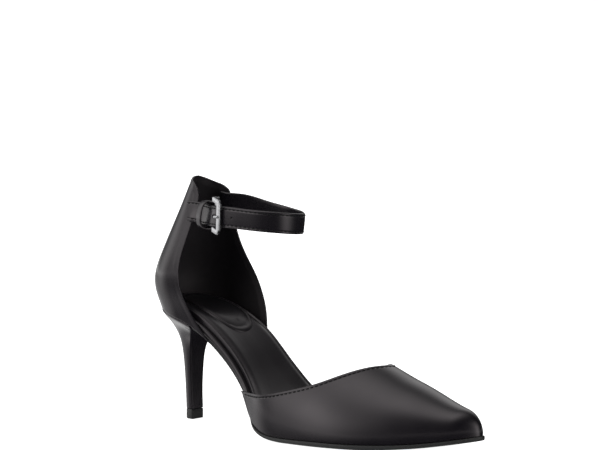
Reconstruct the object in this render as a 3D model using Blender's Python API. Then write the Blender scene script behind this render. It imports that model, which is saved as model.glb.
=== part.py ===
"""Right-foot dorsay pump with a pointed toe, a slim covered heel and a buckled ankle strap.

Sizes are in millimetres. Stations run forward from the back of the heel: x to the toe,
y to the medial side (the wearer's left), z up from the floor. Blender gets metres.
"""

import math

import bmesh
import bpy
import numpy as np

MM = 0.001

# Driving sizes
SHOE_LENGTH = 235.6
SEAT_BACK = 4.0
HEEL_BREAST = 41.0
FIT_GAP = 0.3
HEEL_ROUND = 26.0
TOE_ROUND, TOE_POWER = 12.0, 2.4
SHARP_ANGLE = 40.0

# Upper
VAMP_WALL = 1.7
VAMP_TUCK = 0.5
SKIVE_END, SKIVE_FADE = 106.0, 24.0
MEDIAL_SLIM = 0.2
QUARTER_WALL = 1.8
SEAT_GUESS = 65.0

# Footbed and soles
INSOLE_THICK = 3.2
INSOLE_INSET = QUARTER_WALL + FIT_GAP + 0.1
INSOLE_ROUND = 0.8
CUP_RISE, MEDIAL_CUP = 1.8, 1.2
CUP_END, CUP_FADE = 130.0, 40.0
SOCK_THICK = 4.0
SOCK_INSET = INSOLE_INSET + 3.0
SOCK_END = 226.0
SOCK_ROUND = 0.4
PAD_THICK = 1.1
PAD_BACK, PAD_FRONT, PAD_HALF, PAD_SHIFT = 13.0, 62.0, 14.5, 3.5
PAD_POWER = 2.4
PAD_ROUND = 0.9
SOLE_WELT = 1.0
SOLE_WAIST_INSET = 2.6
WAIST_END, WAIST_FADE = 106.0, 20.0
SOLE_EDGE_LIFT = 0.7
SOLE_FLAT = 0.55
SOLE_ROUND = 0.5

# Heel tip
TIP_HEIGHT = 6.0
TIP_EDGE = 0.6
TIP_FOOT_SCALE = 0.94

# Ankle strap, tab and keeper
STRAP_WIDTH = 12.5
STRAP_THICK = 1.9
STRAP_CORNER = 0.475
STRAP_PAST_KEEPER = 2.5
TAB_HEIGHT = 129.4
TAB_SLANT = 0.3
TAB_EASE = 0.9
TAB_SHARES = (-0.98, -0.92, -0.86)
KEEPER_WIDTH, KEEPER_HEIGHT, KEEPER_DEPTH, KEEPER_WALL = 5.5, 17.4, 10.2, 1.2
KEEPER_EASE, KEEPER_SQUARE, KEEPER_PUFF = 0.65, 0.4, 0.8
KEEPER_BACK = 5.0

# Buckle
BUCKLE_HEIGHT, BUCKLE_LENGTH, BUCKLE_BAR, BUCKLE_THICK = 21.0, 13.4, 3.0, 1.7
BUCKLE_BEND = 1.6
BUCKLE_CORNER = 0.35
BUCKLE_EASE = 0.3
HINGE_EASE = 0.7
BUCKLE_DIP = 0.1
BUCKLE_BACK = 11.0
PRONG_WIDTH, PRONG_THICK, PRONG_CORNER = 1.7, 1.3, 0.325
PRONG_ARCH = 0.96
SLOT_LENGTH, SLOT_HEIGHT, SLOT_SHIFT = 7.0, 2.6, 0.6

# Middle of the whole shoe's box on the floor
ORIGIN = np.array([118.3, -1.25, 0.0])

# Plan and profile of the last, a row for each station from heel to toe
LAST_COLUMNS = ("station", "feather", "arch", "lateral", "medial", "sole")
LAST_ROWS = (
    (4.0, 70.2, 0.0, 25.6, 25.6, 2.2),
    (20.0, 66.6, 0.0, 25.6, 25.6, 2.2),
    (40.0, 61.2, 0.6, 25.2, 25.2, 2.2),
    (52.0, 55.6, 1.8, 24.2, 24.2, 2.2),
    (62.0, 48.6, 3.2, 23.2, 24.8, 2.2),
    (72.0, 39.8, 4.2, 23.0, 25.0, 2.2),
    (82.0, 29.6, 4.8, 25.0, 25.0, 2.2),
    (92.0, 20.0, 4.8, 30.6, 25.4, 2.2),
    (102.0, 11.9, 4.0, 36.0, 26.6, 2.3),
    (112.0, 6.9, 2.7, 39.0, 28.4, 2.6),
    (124.0, 4.3, 1.2, 39.8, 31.0, 3.0),
    (136.0, 3.5, 0.3, 39.6, 34.6, 3.4),
    (148.0, 3.4, 0.0, 38.6, 36.8, 3.6),
    (160.0, 3.4, 0.0, 36.4, 37.4, 3.7),
    (175.0, 3.5, 0.0, 31.8, 36.2, 3.7),
    (190.0, 4.1, 0.0, 25.4, 33.0, 3.4),
    (204.0, 5.2, 0.0, 18.2, 28.6, 3.1),
    (216.0, 6.8, 0.0, 11.4, 23.6, 2.8),
    (225.0, 8.3, 0.0, 6.0, 19.0, 2.7),
    (236.0, 10.4, 0.0, -2.0, 13.0, 2.6),
)

# Vamp sections: ridge height over the feather line, ridge shift, slimness, peak and side swell
VAMP_COLUMNS = ("station", "rise", "ridge", "slim", "peak", "swell")
VAMP_ROWS = (
    (78.0, 68.0, 4.0, 0.05, 1.08, 0.4),
    (95.0, 64.0, 4.0, 0.05, 1.10, 1.6),
    (115.0, 59.5, 4.0, 0.07, 1.12, 2.2),
    (135.0, 54.5, 3.5, 0.07, 1.12, 1.8),
    (160.0, 46.6, 2.6, 0.09, 1.14, 1.6),
    (176.0, 40.0, 1.8, 0.09, 1.14, 1.6),
    (186.0, 35.4, 1.6, 0.07, 1.10, 1.6),
    (196.0, 31.0, 1.4, 0.045, 1.06, 1.5),
    (206.0, 25.9, 1.2, 0.02, 1.02, 1.4),
    (214.0, 21.6, 1.0, 0.0, 1.00, 1.2),
    (225.0, 16.5, 0.5, 0.0, 1.00, 0.9),
    (236.0, 12.4, 0.0, 0.0, 1.00, 0.5),
)

# Throat line: share of the girth from lateral to medial feather, and its station
THROAT_COLUMNS = ("share", "station")
THROAT_ROWS = (
    (0.00, 82.0),
    (0.06, 92.4),
    (0.12, 107.0),
    (0.16, 122.2),
    (0.20, 137.5),
    (0.25, 149.5),
    (0.30, 157.0),
    (0.40, 167.0),
    (0.48, 171.4),
    (0.53, 171.8),
    (0.60, 167.5),
    (0.70, 155.0),
    (0.80, 138.0),
    (0.90, 116.0),
    (1.00, 93.0),
)

# Quarter levels: back station, half width, round of the back, and where the two front edges stand
QUARTER_COLUMNS = ("height", "back", "half", "round", "lateral", "medial")
QUARTER_ROWS = (
    (54.0, 9.0, 24.2, 26.0, 53.5, 60.5),
    (62.0, 6.4, 25.0, 26.0, 46.4, 59.4),
    (70.0, 4.0, 26.2, 26.2, 41.2, 57.2),
    (78.0, 1.1, 28.0, 27.0, 37.6, 53.0),
    (88.0, 0.0, 29.4, 28.0, 35.3, 46.8),
    (98.0, 2.7, 28.6, 27.0, 35.0, 40.8),
    (108.0, 6.9, 25.8, 24.4, 35.9, 37.4),
    (118.0, 11.1, 22.0, 20.8, 37.1, 36.8),
    (128.0, 15.4, 18.2, 17.2, 38.2, 37.4),
    (138.0, 19.8, 15.2, 14.2, 38.6, 38.2),
    (146.0, 23.4, 13.5, 12.4, 37.4, 37.4),
    (152.0, 26.2, 12.6, 11.4, 35.8, 35.8),
)

# Top line of the quarter: share of the way from the back seam to a front edge, and its height
TOPLINE_COLUMNS = ("share", "lateral", "medial")
TOPLINE_ROWS = (
    (0.00, 149.9, 149.9),
    (0.35, 149.4, 148.0),
    (0.65, 147.6, 145.4),
    (0.88, 144.8, 143.2),
    (1.00, 141.5, 141.2),
)

# Heel rings: height, share of the seat's slope, back, breast, half width and fullness
HEEL_COLUMNS = ("height", "slope", "back", "breast", "half", "full")
HEEL_ROWS = (
    (TIP_HEIGHT + FIT_GAP, 0.0, 17.0, 24.9, 5.1, 2.3),
    (20.0, 0.0, 16.5, 24.3, 5.4, 2.3),
    (30.0, 0.0, 15.9, 24.4, 5.9, 2.3),
    (38.0, 0.05, 15.2, 24.7, 6.5, 2.3),
    (45.0, 0.15, 14.1, 25.6, 7.5, 2.3),
    (51.0, 0.35, 12.5, 27.6, 9.6, 2.35),
    (56.0, 0.60, 10.2, 31.0, 13.2, 2.45),
    (60.5, 0.85, 7.5, 35.6, 18.4, 2.55),
    (63.6, 1.0, 5.3, 39.2, 22.8, 2.6),
    (65.6, 1.0, 4.5, HEEL_BREAST, 24.8, 2.65),
)

# Ankle strap from the medial front edge round the instep to the buckle: centre and outward lean
STRAP_COLUMNS = ("x", "y", "z", "lean")
STRAP_ROWS = (
    (47.0, 17.4, 132.6, -0.10),
    (58.0, 22.4, 129.4, 0.0),
    (70.0, 25.4, 126.6, 0.05),
    (81.0, 25.0, 124.8, 0.08),
    (91.0, 20.4, 123.8, 0.10),
    (99.0, 11.6, 123.6, 0.10),
    (104.6, 5.8, 124.3, 0.10),
    (108.4, -2.5, 124.7, 0.10),
    (108.4, -10.5, 125.3, 0.10),
    (104.5, -18.5, 126.1, 0.10),
    (96.9, -23.6, 126.8, 0.08),
    (84.0, -26.8, 127.7, 0.05),
    (74.0, -28.2, 128.3, 0.0),
    (64.0, -26.8, 128.2, -0.05),
    (55.0, -23.4, 128.4, -0.15),
    (47.0, -20.8, 128.9, -0.25),
)

# Where the strap is sewn inside the medial quarter: share of the quarter and height
ANCHOR_COLUMNS = ("share", "height")
ANCHOR_ROWS = ((0.80, 135.4), (0.98, 134.6))

# Prong from hinge to front bar: share of the half length and share of the frame's clearance
PRONG_COLUMNS = ("run", "out")
PRONG_ROWS = ((0.45, -0.55), (0.10, 0.35))

# Colour, roughness and metalness
LEATHER = ((0.012, 0.012, 0.013, 1.0), 0.42, 0.0)
LINING = ((0.02, 0.02, 0.021, 1.0), 0.6, 0.0)
RUBBER = ((0.015, 0.015, 0.015, 1.0), 0.7, 0.0)
NICKEL = ((0.62, 0.62, 0.63, 1.0), 0.2, 1.0)


def natural_cubic(xs, ys):
    """A smooth curve through the points, straight beyond both ends."""
    xs, ys = np.asarray(xs, float), np.asarray(ys, float)
    n, step = len(xs), np.diff(xs)
    slope = np.diff(ys) / step
    matrix, right = np.eye(n), np.zeros(n)
    for i in range(1, n - 1):
        matrix[i, i - 1 : i + 2] = step[i - 1], 2 * (step[i - 1] + step[i]), step[i]
        right[i] = 6 * (slope[i] - slope[i - 1])
    bend = np.linalg.solve(matrix, right)

    def curve(x):
        x = np.asarray(x, float)
        i = np.clip(np.searchsorted(xs, x) - 1, 0, n - 2)
        h = step[i]
        a = np.clip(x - xs[i], 0, h)
        first = slope[i] - h * (2 * bend[i] + bend[i + 1]) / 6
        third = (bend[i + 1] - bend[i]) / h
        value = ys[i] + a * (first + a * (bend[i] / 2 + a * third / 6))
        rate = first + a * (bend[i] + a * third / 2)
        return value + rate * (x - xs[i] - a)

    return curve


def curves_of(columns, rows):
    """One smooth curve over the first column for each of the other columns."""
    table = np.array(rows, float)
    return {name: natural_cubic(table[:, 0], table[:, k]) for k, name in enumerate(columns) if k}


LAST = curves_of(LAST_COLUMNS, LAST_ROWS)
VAMP = curves_of(VAMP_COLUMNS, VAMP_ROWS)
THROAT = curves_of(THROAT_COLUMNS, THROAT_ROWS)
QUARTER = curves_of(QUARTER_COLUMNS, QUARTER_ROWS)
TOPLINE = curves_of(TOPLINE_COLUMNS, TOPLINE_ROWS)
HEEL = curves_of(HEEL_COLUMNS, HEEL_ROWS)


def unit(vector):
    return vector / np.linalg.norm(vector)


def smooth_step(share):
    s = np.clip(share, 0.0, 1.0)
    return s * s * (3 - 2 * s)


def round_off(share, power=2.0):
    """From 0 to 1 along a quarter circle, or a fuller curve, then 1."""
    s = np.clip(share, 0.0, 1.0)
    return np.maximum(0.0, 1 - (1 - s) ** power) ** (1 / power)


def toe_end(x):
    """1 along the shoe, falling to 0 round the tip of the toe."""
    return round_off((SHOE_LENGTH - x) / TOE_ROUND, TOE_POWER)


# The last


def edge_line(x, side):
    """Side station of the last's edge, side -1 lateral or +1 medial, rounded at heel and toe."""
    lateral, medial = LAST["lateral"](x), LAST["medial"](x)
    centre, half = (medial - lateral) / 2, (medial + lateral) / 2
    ends = round_off((x - SEAT_BACK) / HEEL_ROUND) * toe_end(x)
    return centre + side * half * ends


def last_edge(x, side, inset=0.0):
    """Plan point on the last's edge, moved in square to the edge."""
    near, far = max(x - 0.02, SEAT_BACK), min(x + 0.02, SHOE_LENGTH)
    run = unit(np.array([far - near, edge_line(far, side) - edge_line(near, side)]))
    return np.array([x + side * inset * run[1], edge_line(x, side) - side * inset * run[0]])


def across_last(x, y):
    """-1 at the lateral edge, 0 midway, +1 at the medial edge."""
    lateral, medial = LAST["lateral"](x), LAST["medial"](x)
    return np.clip((2 * y - medial + lateral) / (medial + lateral), -1, 1)


def feather(x, y):
    """Height of the last's bottom, lifted towards the arch on the medial side of the waist."""
    return LAST["feather"](x) + LAST["arch"](x) * across_last(x, y)


def sole_floor(x, y):
    """Underside of the outsole: it lies flat on the floor under the ball."""
    rim = np.maximum(0.0, (abs(across_last(x, y)) - SOLE_FLAT) / (1 - SOLE_FLAT))
    lift = SOLE_EDGE_LIFT * rim**3
    return np.maximum(0.0, feather(x, y) - LAST["sole"](x)) + lift


def cup(x, y):
    """Rise of the footbed towards its edges, fading out under the vamp."""
    fade, side = np.clip((CUP_END - x) / CUP_FADE, 0, 1), across_last(x, y)
    return (CUP_RISE + MEDIAL_CUP * (side > 0)) * fade * side**4


def insole_top(x, y):
    return feather(x, y) + FIT_GAP + INSOLE_THICK + cup(x, y)


def sock_top(x, y):
    return insole_top(x, y) + FIT_GAP + SOCK_THICK


# Mesh making


def material(name, finish):
    colour, roughness, metallic = finish
    made = bpy.data.materials.new(name)
    made.use_nodes = True
    shader = made.node_tree.nodes["Principled BSDF"]
    shader.inputs["Base Color"].default_value = colour
    shader.inputs["Roughness"].default_value = roughness
    shader.inputs["Metallic"].default_value = metallic
    made.diffuse_color = colour
    return made


def add_solid(name, points, faces, finish):
    """One closed object from points in millimetres, its faces turned outwards."""
    mesh = bpy.data.meshes.new(name)
    shape = bmesh.new()
    verts = [shape.verts.new((np.asarray(p, float) - ORIGIN) * MM) for p in points]
    for face in faces:
        shape.faces.new([verts[i] for i in face])
    bmesh.ops.remove_doubles(shape, verts=shape.verts, dist=1e-6)
    bmesh.ops.recalc_face_normals(shape, faces=shape.faces)
    if shape.calc_volume(signed=True) < 0:
        bmesh.ops.reverse_faces(shape, faces=shape.faces)
    shape.to_mesh(mesh)
    shape.free()
    mesh.shade_smooth()
    mesh.set_sharp_from_angle(angle=math.radians(SHARP_ANGLE))
    mesh.materials.append(material(name, finish))
    solid = bpy.data.objects.new(name, mesh)
    bpy.context.scene.collection.objects.link(solid)
    return solid


def grid_faces(rows, columns, start=0):
    faces = []
    for i in range(rows - 1):
        for j in range(columns - 1):
            a = start + i * columns + j
            faces.append((a, a + 1, a + columns + 1, a + columns))
    return faces


def border(rows, columns, start=0):
    """Indices round the edge of a grid, in order."""
    top = [start + j for j in range(columns)]
    right = [start + i * columns + columns - 1 for i in range(1, rows)]
    bottom = [start + (rows - 1) * columns + j for j in range(columns - 2, -1, -1)]
    left = [start + i * columns for i in range(rows - 2, 0, -1)]
    return top + right + bottom + left


def add_shell(name, outer, inner, finish):
    """Closed wall between two grids of points of one size."""
    rows, columns = outer.shape[:2]
    count = rows * columns
    faces = grid_faces(rows, columns) + grid_faces(rows, columns, count)
    rim = border(rows, columns)
    for a, b in zip(rim, rim[1:] + rim[:1]):
        faces.append((a, b, b + count, a + count))
    points = np.concatenate([outer.reshape(-1, 3), inner.reshape(-1, 3)])
    return add_solid(name, points, faces, finish)


def add_rings(name, rings, finish):
    """Closed solid through rings of points of one size, capped at both ends."""
    around = len(rings[0])
    faces = [tuple(range(around)), tuple((len(rings) - 1) * around + k for k in range(around))]
    for i in range(len(rings) - 1):
        for k in range(around):
            a, b = i * around + k, i * around + (k + 1) % around
            faces.append((a, b, b + around, a + around))
    return add_solid(name, np.concatenate(rings), faces, finish)


def add_loop(name, rings, finish):
    """Closed ring-shaped solid through sections that come back to the first."""
    around, count = len(rings[0]), len(rings)
    faces = []
    for i in range(count):
        for k in range(around):
            a, b = i * around + k, i * around + (k + 1) % around
            c, d = (i + 1) % count * around + (k + 1) % around, (i + 1) % count * around + k
            faces.append((a, b, c, d))
    return add_solid(name, np.concatenate(rings), faces, finish)


def add_plate(name, stations, edge, round_edge, top, floor, finish, across=7):
    """Flat-lying piece between two edges of the plan, with a rounded rim."""
    sides = np.linspace(0, 1, across)

    def layer(inset, height):
        grid = np.zeros((len(stations), across, 3))
        for i, x in enumerate(stations):
            lateral, medial = edge(x, -1, inset), edge(x, 1, inset)
            for j, share in enumerate(sides):
                px, py = lateral + (medial - lateral) * share
                grid[i, j] = px, py, height(px, py)
        return grid

    def halfway(x, y):
        return (top(x, y) + floor(x, y)) / 2

    upper, lower, middle = layer(round_edge, top), layer(round_edge, floor), layer(0.0, halfway)
    rows, count = len(stations), len(stations) * across
    faces = grid_faces(rows, across) + grid_faces(rows, across, count)
    rim = border(rows, across)
    for a, b in zip(rim, rim[1:] + rim[:1]):
        faces.append((a, b, b + 2 * count, a + 2 * count))
        faces.append((a + 2 * count, b + 2 * count, b + count, a + count))
    used = sorted({i for face in faces for i in face})
    place = {old: new for new, old in enumerate(used)}
    points = np.concatenate([grid.reshape(-1, 3) for grid in (upper, lower, middle)])[used]
    return add_solid(name, points, [tuple(place[i] for i in face) for face in faces], finish)


def eased(start, end, count):
    """Stations that crowd towards both ends, where an outline turns."""
    return start + (end - start) * (1 - np.cos(np.linspace(0, math.pi, count))) / 2


def last_stations():
    """Stations shared by the pieces under the foot, closer together round the heel and toe."""
    heel = SEAT_BACK + HEEL_ROUND * (1 - np.cos(np.linspace(0, math.pi / 2, 9)))
    toe = SHOE_LENGTH - TOE_ROUND * (1 - np.cos(np.linspace(math.pi / 2, 0, 7)))
    middle = np.linspace(heel[-1], toe[0], 31)
    return np.concatenate([heel[:-1], middle, toe[1:]])


# Upper


def skive(x):
    """1 at the vamp's two back corners, where its wall thins and tucks in, 0 from the ball on."""
    return float(smooth_step((SKIVE_END - x) / SKIVE_FADE))


def vamp_point(x, share):
    """Outer face of the vamp: share 0 at the lateral feather line, 1 at the medial one."""
    angle = math.pi * share
    up, over = math.sin(angle), math.cos(angle)
    ending = toe_end(x)
    tuck = VAMP_TUCK * skive(x)
    lateral, medial = edge_line(x, -1) + tuck, edge_line(x, 1) - tuck
    centre = (lateral + medial) / 2
    ridge = centre + VAMP["ridge"](x) * ending
    edge = lateral if over > 0 else medial
    slim = float(VAMP["slim"](x)) + (MEDIAL_SLIM if over < 0 else 0.0)
    spread = abs(over) * (1 - slim * up**2)
    swell = math.copysign(2 * up * abs(over), -over) * VAMP["swell"](x) * ending
    y = ridge + (edge - ridge) * spread + swell
    foot = feather(x, edge) * spread + LAST["feather"](x) * (1 - spread) + FIT_GAP
    z = foot + VAMP["rise"](x) * ending * up ** float(VAMP["peak"](x))
    return np.array([x, float(y), float(z)])


def vamp_normal(x, share):
    x, share = min(x, SHOE_LENGTH - 0.01), min(max(share, 0.002), 0.998)
    along = vamp_point(x + 0.005, share) - vamp_point(x - 0.005, share)
    over = vamp_point(x, share + 0.001) - vamp_point(x, share - 0.001)
    return unit(np.cross(along, over))


def build_vamp(girths=29, stations=21):
    outer, inner = np.zeros((girths, stations, 3)), np.zeros((girths, stations, 3))
    for i, share in enumerate(np.linspace(0, 1, girths)):
        throat = float(THROAT["station"](share))
        for j, u in enumerate(np.linspace(0, 1, stations)):
            x = throat + (SHOE_LENGTH - throat) * math.sin(u * math.pi / 2)
            outer[i, j] = vamp_point(x, share)
            normal = vamp_normal(x, share) if j < stations - 1 else np.array([1.0, 0.0, 0.0])
            inner[i, j] = outer[i, j] - (VAMP_WALL - VAMP_TUCK * skive(x)) * normal
            if i in (0, girths - 1) or j == stations - 1:
                inner[i, j, 2] = feather(*inner[i, j, :2]) + FIT_GAP
    return add_shell("upper_vamp", outer, inner, LEATHER)


def quarter_level(height, side, count=60):
    """Plan curve of one level from the back seam to a front edge, with its running length."""
    back, half, rounding = (float(QUARTER[k](height)) for k in ("back", "half", "round"))
    front = float(QUARTER["lateral" if side < 0 else "medial"](height))
    run = (front - back) * np.linspace(0, 1, count) ** 2
    curve = np.stack([back + run, side * half * round_off(run / rounding)], axis=1)
    length = np.concatenate([[0.0], np.cumsum(np.linalg.norm(np.diff(curve, axis=0), axis=1))])
    return curve, length


def quarter_at(share, height):
    """Outer face of the quarter: share -1 lateral front edge, 0 back seam, +1 medial front edge."""
    curve, length = quarter_level(height, -1 if share < 0 else 1)
    where = abs(share) * length[-1]
    return np.array([np.interp(where, length, curve[:, 0]), np.interp(where, length, curve[:, 1]), height])


def quarter_foot(share):
    """Height of the quarter's lower edge, where it stands on the seat."""
    height = SEAT_GUESS
    for _ in range(8):
        x, y, _ = quarter_at(share, height)
        height = float(feather(x, y)) + FIT_GAP
    return height


def quarter_point(share, rise):
    foot = quarter_foot(share)
    top = float(TOPLINE["lateral" if share < 0 else "medial"](abs(share)))
    return quarter_at(share, foot + rise * (top - foot))


def quarter_frame(share, height):
    """Outward normal of the quarter's face, and the direction up it."""
    s = float(np.clip(share, -0.99, 0.99))
    along = quarter_at(s + 0.01, height) - quarter_at(s - 0.01, height)
    up = unit(quarter_at(s, height + 1.5) - quarter_at(s, height - 1.5))
    return unit(np.cross(up, along)), up


def build_quarter(shares=29, rises=19):
    outer, inner = np.zeros((shares, rises, 3)), np.zeros((shares, rises, 3))
    for i, share in enumerate(np.linspace(-1, 1, shares)):
        for j, rise in enumerate(np.linspace(0, 1, rises)):
            point = quarter_point(share, rise)
            outer[i, j] = point
            normal = quarter_frame(share, point[2])[0]
            if j == 0:
                normal = unit(normal * np.array([1.0, 1.0, 0.0]))
            inner[i, j] = point - QUARTER_WALL * normal
            if j == 0:
                inner[i, j, 2] = feather(*inner[i, j, :2]) + FIT_GAP
    return add_shell("upper_quarter", outer, inner, LEATHER)


# Bottom


def build_outsole():
    def edge(x, side, inset):
        waist = smooth_step((WAIST_END - x) / WAIST_FADE)
        return last_edge(x, side, inset + SOLE_WAIST_INSET * waist - SOLE_WELT * (1 - waist))

    breast = HEEL_BREAST + FIT_GAP
    stations = [breast] + [x for x in last_stations() if x > breast + 1]
    return add_plate("outsole", stations, edge, SOLE_ROUND, feather, sole_floor, RUBBER)


def build_insole():
    def edge(x, side, inset):
        return last_edge(x, side, INSOLE_INSET + inset)

    def floor(x, y):
        return feather(x, y) + FIT_GAP

    return add_plate("insole", last_stations(), edge, INSOLE_ROUND, insole_top, floor, LINING)


def build_sock():
    def edge(x, side, inset):
        return last_edge(x, side, SOCK_INSET + inset)

    def floor(x, y):
        return insole_top(x, y) + FIT_GAP

    stations = [x for x in last_stations() if x <= SOCK_END]
    return add_plate("sock", stations, edge, SOCK_ROUND, sock_top, floor, LINING)


def pad_edge(x, side, inset):
    middle, reach = (PAD_BACK + PAD_FRONT) / 2, (PAD_FRONT - PAD_BACK) / 2
    share = np.clip((x - middle) / reach, -1, 1)
    scale = 1 - inset / PAD_HALF
    width = PAD_HALF * scale * (1 - abs(share) ** PAD_POWER) ** (1 / PAD_POWER)
    return np.array([middle + share * reach * scale, PAD_SHIFT + side * width])


def build_pad():
    def floor(x, y):
        return sock_top(x, y) + FIT_GAP

    def top(x, y):
        return floor(x, y) + PAD_THICK

    stations = eased(PAD_BACK, PAD_FRONT, 18)
    return add_plate("heel_pad", stations, pad_edge, PAD_ROUND, top, floor, LINING)


# Heel


def heel_ring(height, around=22):
    """D-shaped ring, straight across the breast, tilted with the seat near the top."""
    slope, back, breast, half, full = (float(HEEL[k](height)) for k in HEEL_COLUMNS[1:])
    middle = (back + breast) / 2
    points = []
    for angle in np.linspace(0, math.pi, around):
        x = breast - (breast - back) * abs(math.sin(angle)) ** (2 / full)
        y = -half * math.copysign(abs(math.cos(angle)) ** (2 / full), math.cos(angle))
        z = height + slope * float(feather(x, y) - feather(middle, 0.0))
        points.append((x, y, z))
    return np.array(points)


def build_heel():
    heights = [row[0] for row in HEEL_ROWS]
    levels = np.concatenate([heights[:1], np.linspace(heights[1], heights[-1], 17)])
    rings = [heel_ring(float(level)) for level in levels]
    rings[-1][:, 2] = feather(rings[-1][:, 0], rings[-1][:, 1])
    return add_rings("heel", rings, LEATHER)


def build_heel_tip():
    foot = heel_ring(HEEL_ROWS[0][0])
    middle = foot.mean(axis=0)
    rings = []
    for level, scale in ((0.0, TIP_FOOT_SCALE), (TIP_EDGE, 1.0), (TIP_HEIGHT, 1.0)):
        ring = middle + (foot - middle) * scale
        ring[:, 2] = level
        rings.append(ring)
    return add_rings("heel_tip", rings, RUBBER)


# Ankle strap, tab, keeper and buckle


class Place:
    """A point of a band with its directions: along the band, outwards and up."""

    def __init__(self, point, along, rise):
        self.point, self.along = point, unit(along)
        self.up = unit(rise - self.along * np.dot(rise, self.along))
        self.outward = np.cross(self.up, self.along)

    def at(self, run, out, up):
        return self.point + self.along * run + self.outward * out + self.up * up


class Route:
    """Smooth line for a band, with a place at each length along it."""

    def __init__(self, points, ups):
        points, ups = np.array(points), np.array(ups)
        lengths = np.concatenate([[0.0], np.cumsum(np.linalg.norm(np.diff(points, axis=0), axis=1))])
        self.line = [natural_cubic(lengths, points[:, k]) for k in range(3)]
        self.rise = [natural_cubic(lengths, ups[:, k]) for k in range(3)]
        self.knots, self.length = lengths, lengths[-1]

    def place(self, s, step=0.05):
        point = np.array([float(c(s)) for c in self.line])
        along = np.array([float(c(s + step) - c(s - step)) for c in self.line])
        return Place(point, along, np.array([float(c(s)) for c in self.rise]))


def strap_route():
    """From inside the medial quarter, round the instep, to the outside of the lateral quarter."""
    inside = -(QUARTER_WALL + FIT_GAP + STRAP_THICK / 2)
    outside = FIT_GAP + STRAP_THICK + FIT_GAP + STRAP_THICK / 2
    points, ups = [], []

    def add_quarter_point(share, height, offset):
        normal, up = quarter_frame(share, height)
        points.append(quarter_at(share, height) + normal * offset)
        ups.append(up)

    for share, height in ANCHOR_ROWS:
        add_quarter_point(share, height, inside)
    table = np.array(STRAP_ROWS)
    middle = table[:, :2].mean(axis=0)
    for x, y, z, lean in table:
        outward = unit(np.array([x, y]) - middle)
        points.append(np.array([x, y, z]))
        ups.append(unit(np.array([*(outward * lean), 1.0])))
    for share in TAB_SHARES:
        add_quarter_point(share, TAB_HEIGHT, outside)
    return Route(points, ups)


def cut_corners(width, thick, corner):
    """Rectangle with cut corners, as distances outwards and up."""
    w, t, c = width / 2, thick / 2, corner
    right = [(t, c - w), (t, w - c), (t - c, w)]
    left = [(c - t, w), (-t, w - c), (-t, c - w)]
    return right + left + [(c - t, -w), (t - c, -w)]


def add_band(name, route, lengths, shift, slant=0.0):
    """Band along a stretch of the route, its last end cut at a slant."""
    section = cut_corners(STRAP_WIDTH, STRAP_THICK, STRAP_CORNER)
    rings = []
    for s in lengths:
        place, run = route.place(s), slant if s == lengths[-1] else 0.0
        rings.append(np.array([place.at(run * up, shift + out, up) for out, up in section]))
    return add_rings(name, rings, LEATHER)


def build_fastening():
    route = strap_route()
    last_table_knot = -1 - len(TAB_SHARES)
    buckle_at = route.knots[last_table_knot - 1] - BUCKLE_BACK
    keeper_at = route.knots[last_table_knot] - KEEPER_BACK
    free_end = keeper_at + KEEPER_WIDTH / 2 + STRAP_PAST_KEEPER
    strap = add_band("ankle_strap", route, np.linspace(0.0, free_end, 60), 0.0)
    tab_start = buckle_at + BUCKLE_LENGTH / 2 + TAB_EASE
    tab_lengths = np.linspace(tab_start, route.length, 14)
    add_band("strap_tab", route, tab_lengths, -STRAP_THICK - FIT_GAP, TAB_SLANT)
    build_keeper(route.place(keeper_at))
    build_buckle(route.place(buckle_at))
    build_prong(route.place(buckle_at))
    cut_slot(strap, route.place(buckle_at + SLOT_SHIFT))


def signed_power(value, power):
    return math.copysign(abs(value) ** power, value)


def build_keeper(place, around=24):
    """Loop of leather round strap and tab, square against the tab and puffed outwards."""
    centre = KEEPER_DEPTH / 2 - KEEPER_WALL - KEEPER_EASE - STRAP_THICK * 1.5 - FIT_GAP
    half = KEEPER_WIDTH / 2
    rings = []
    for angle in np.arange(around) / around * 2 * math.pi:
        ring, power = [], KEEPER_PUFF if math.cos(angle) > 0 else KEEPER_SQUARE
        for wall, run in ((0, -half), (0, half), (KEEPER_WALL, half), (KEEPER_WALL, -half)):
            out = (KEEPER_DEPTH / 2 - wall) * signed_power(math.cos(angle), power)
            up = (KEEPER_HEIGHT / 2 - wall) * signed_power(math.sin(angle), power)
            ring.append(place.at(run, centre + out, up))
        rings.append(np.array(ring))
    return add_loop("strap_keeper", rings, LEATHER)


def buckle_lean(run):
    """How far the frame stands outside the strap's middle, before its arms dip under at the hinge."""
    clear = STRAP_THICK / 2 + FIT_GAP + BUCKLE_THICK / 2 + BUCKLE_EASE
    half, bar = (BUCKLE_LENGTH - BUCKLE_BAR) / 2, BUCKLE_BAR / 2
    dip = half * BUCKLE_DIP
    fall = 2 * clear + HINGE_EASE
    return clear - fall * float(smooth_step((run - dip) / (half - bar - dip)))


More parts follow.
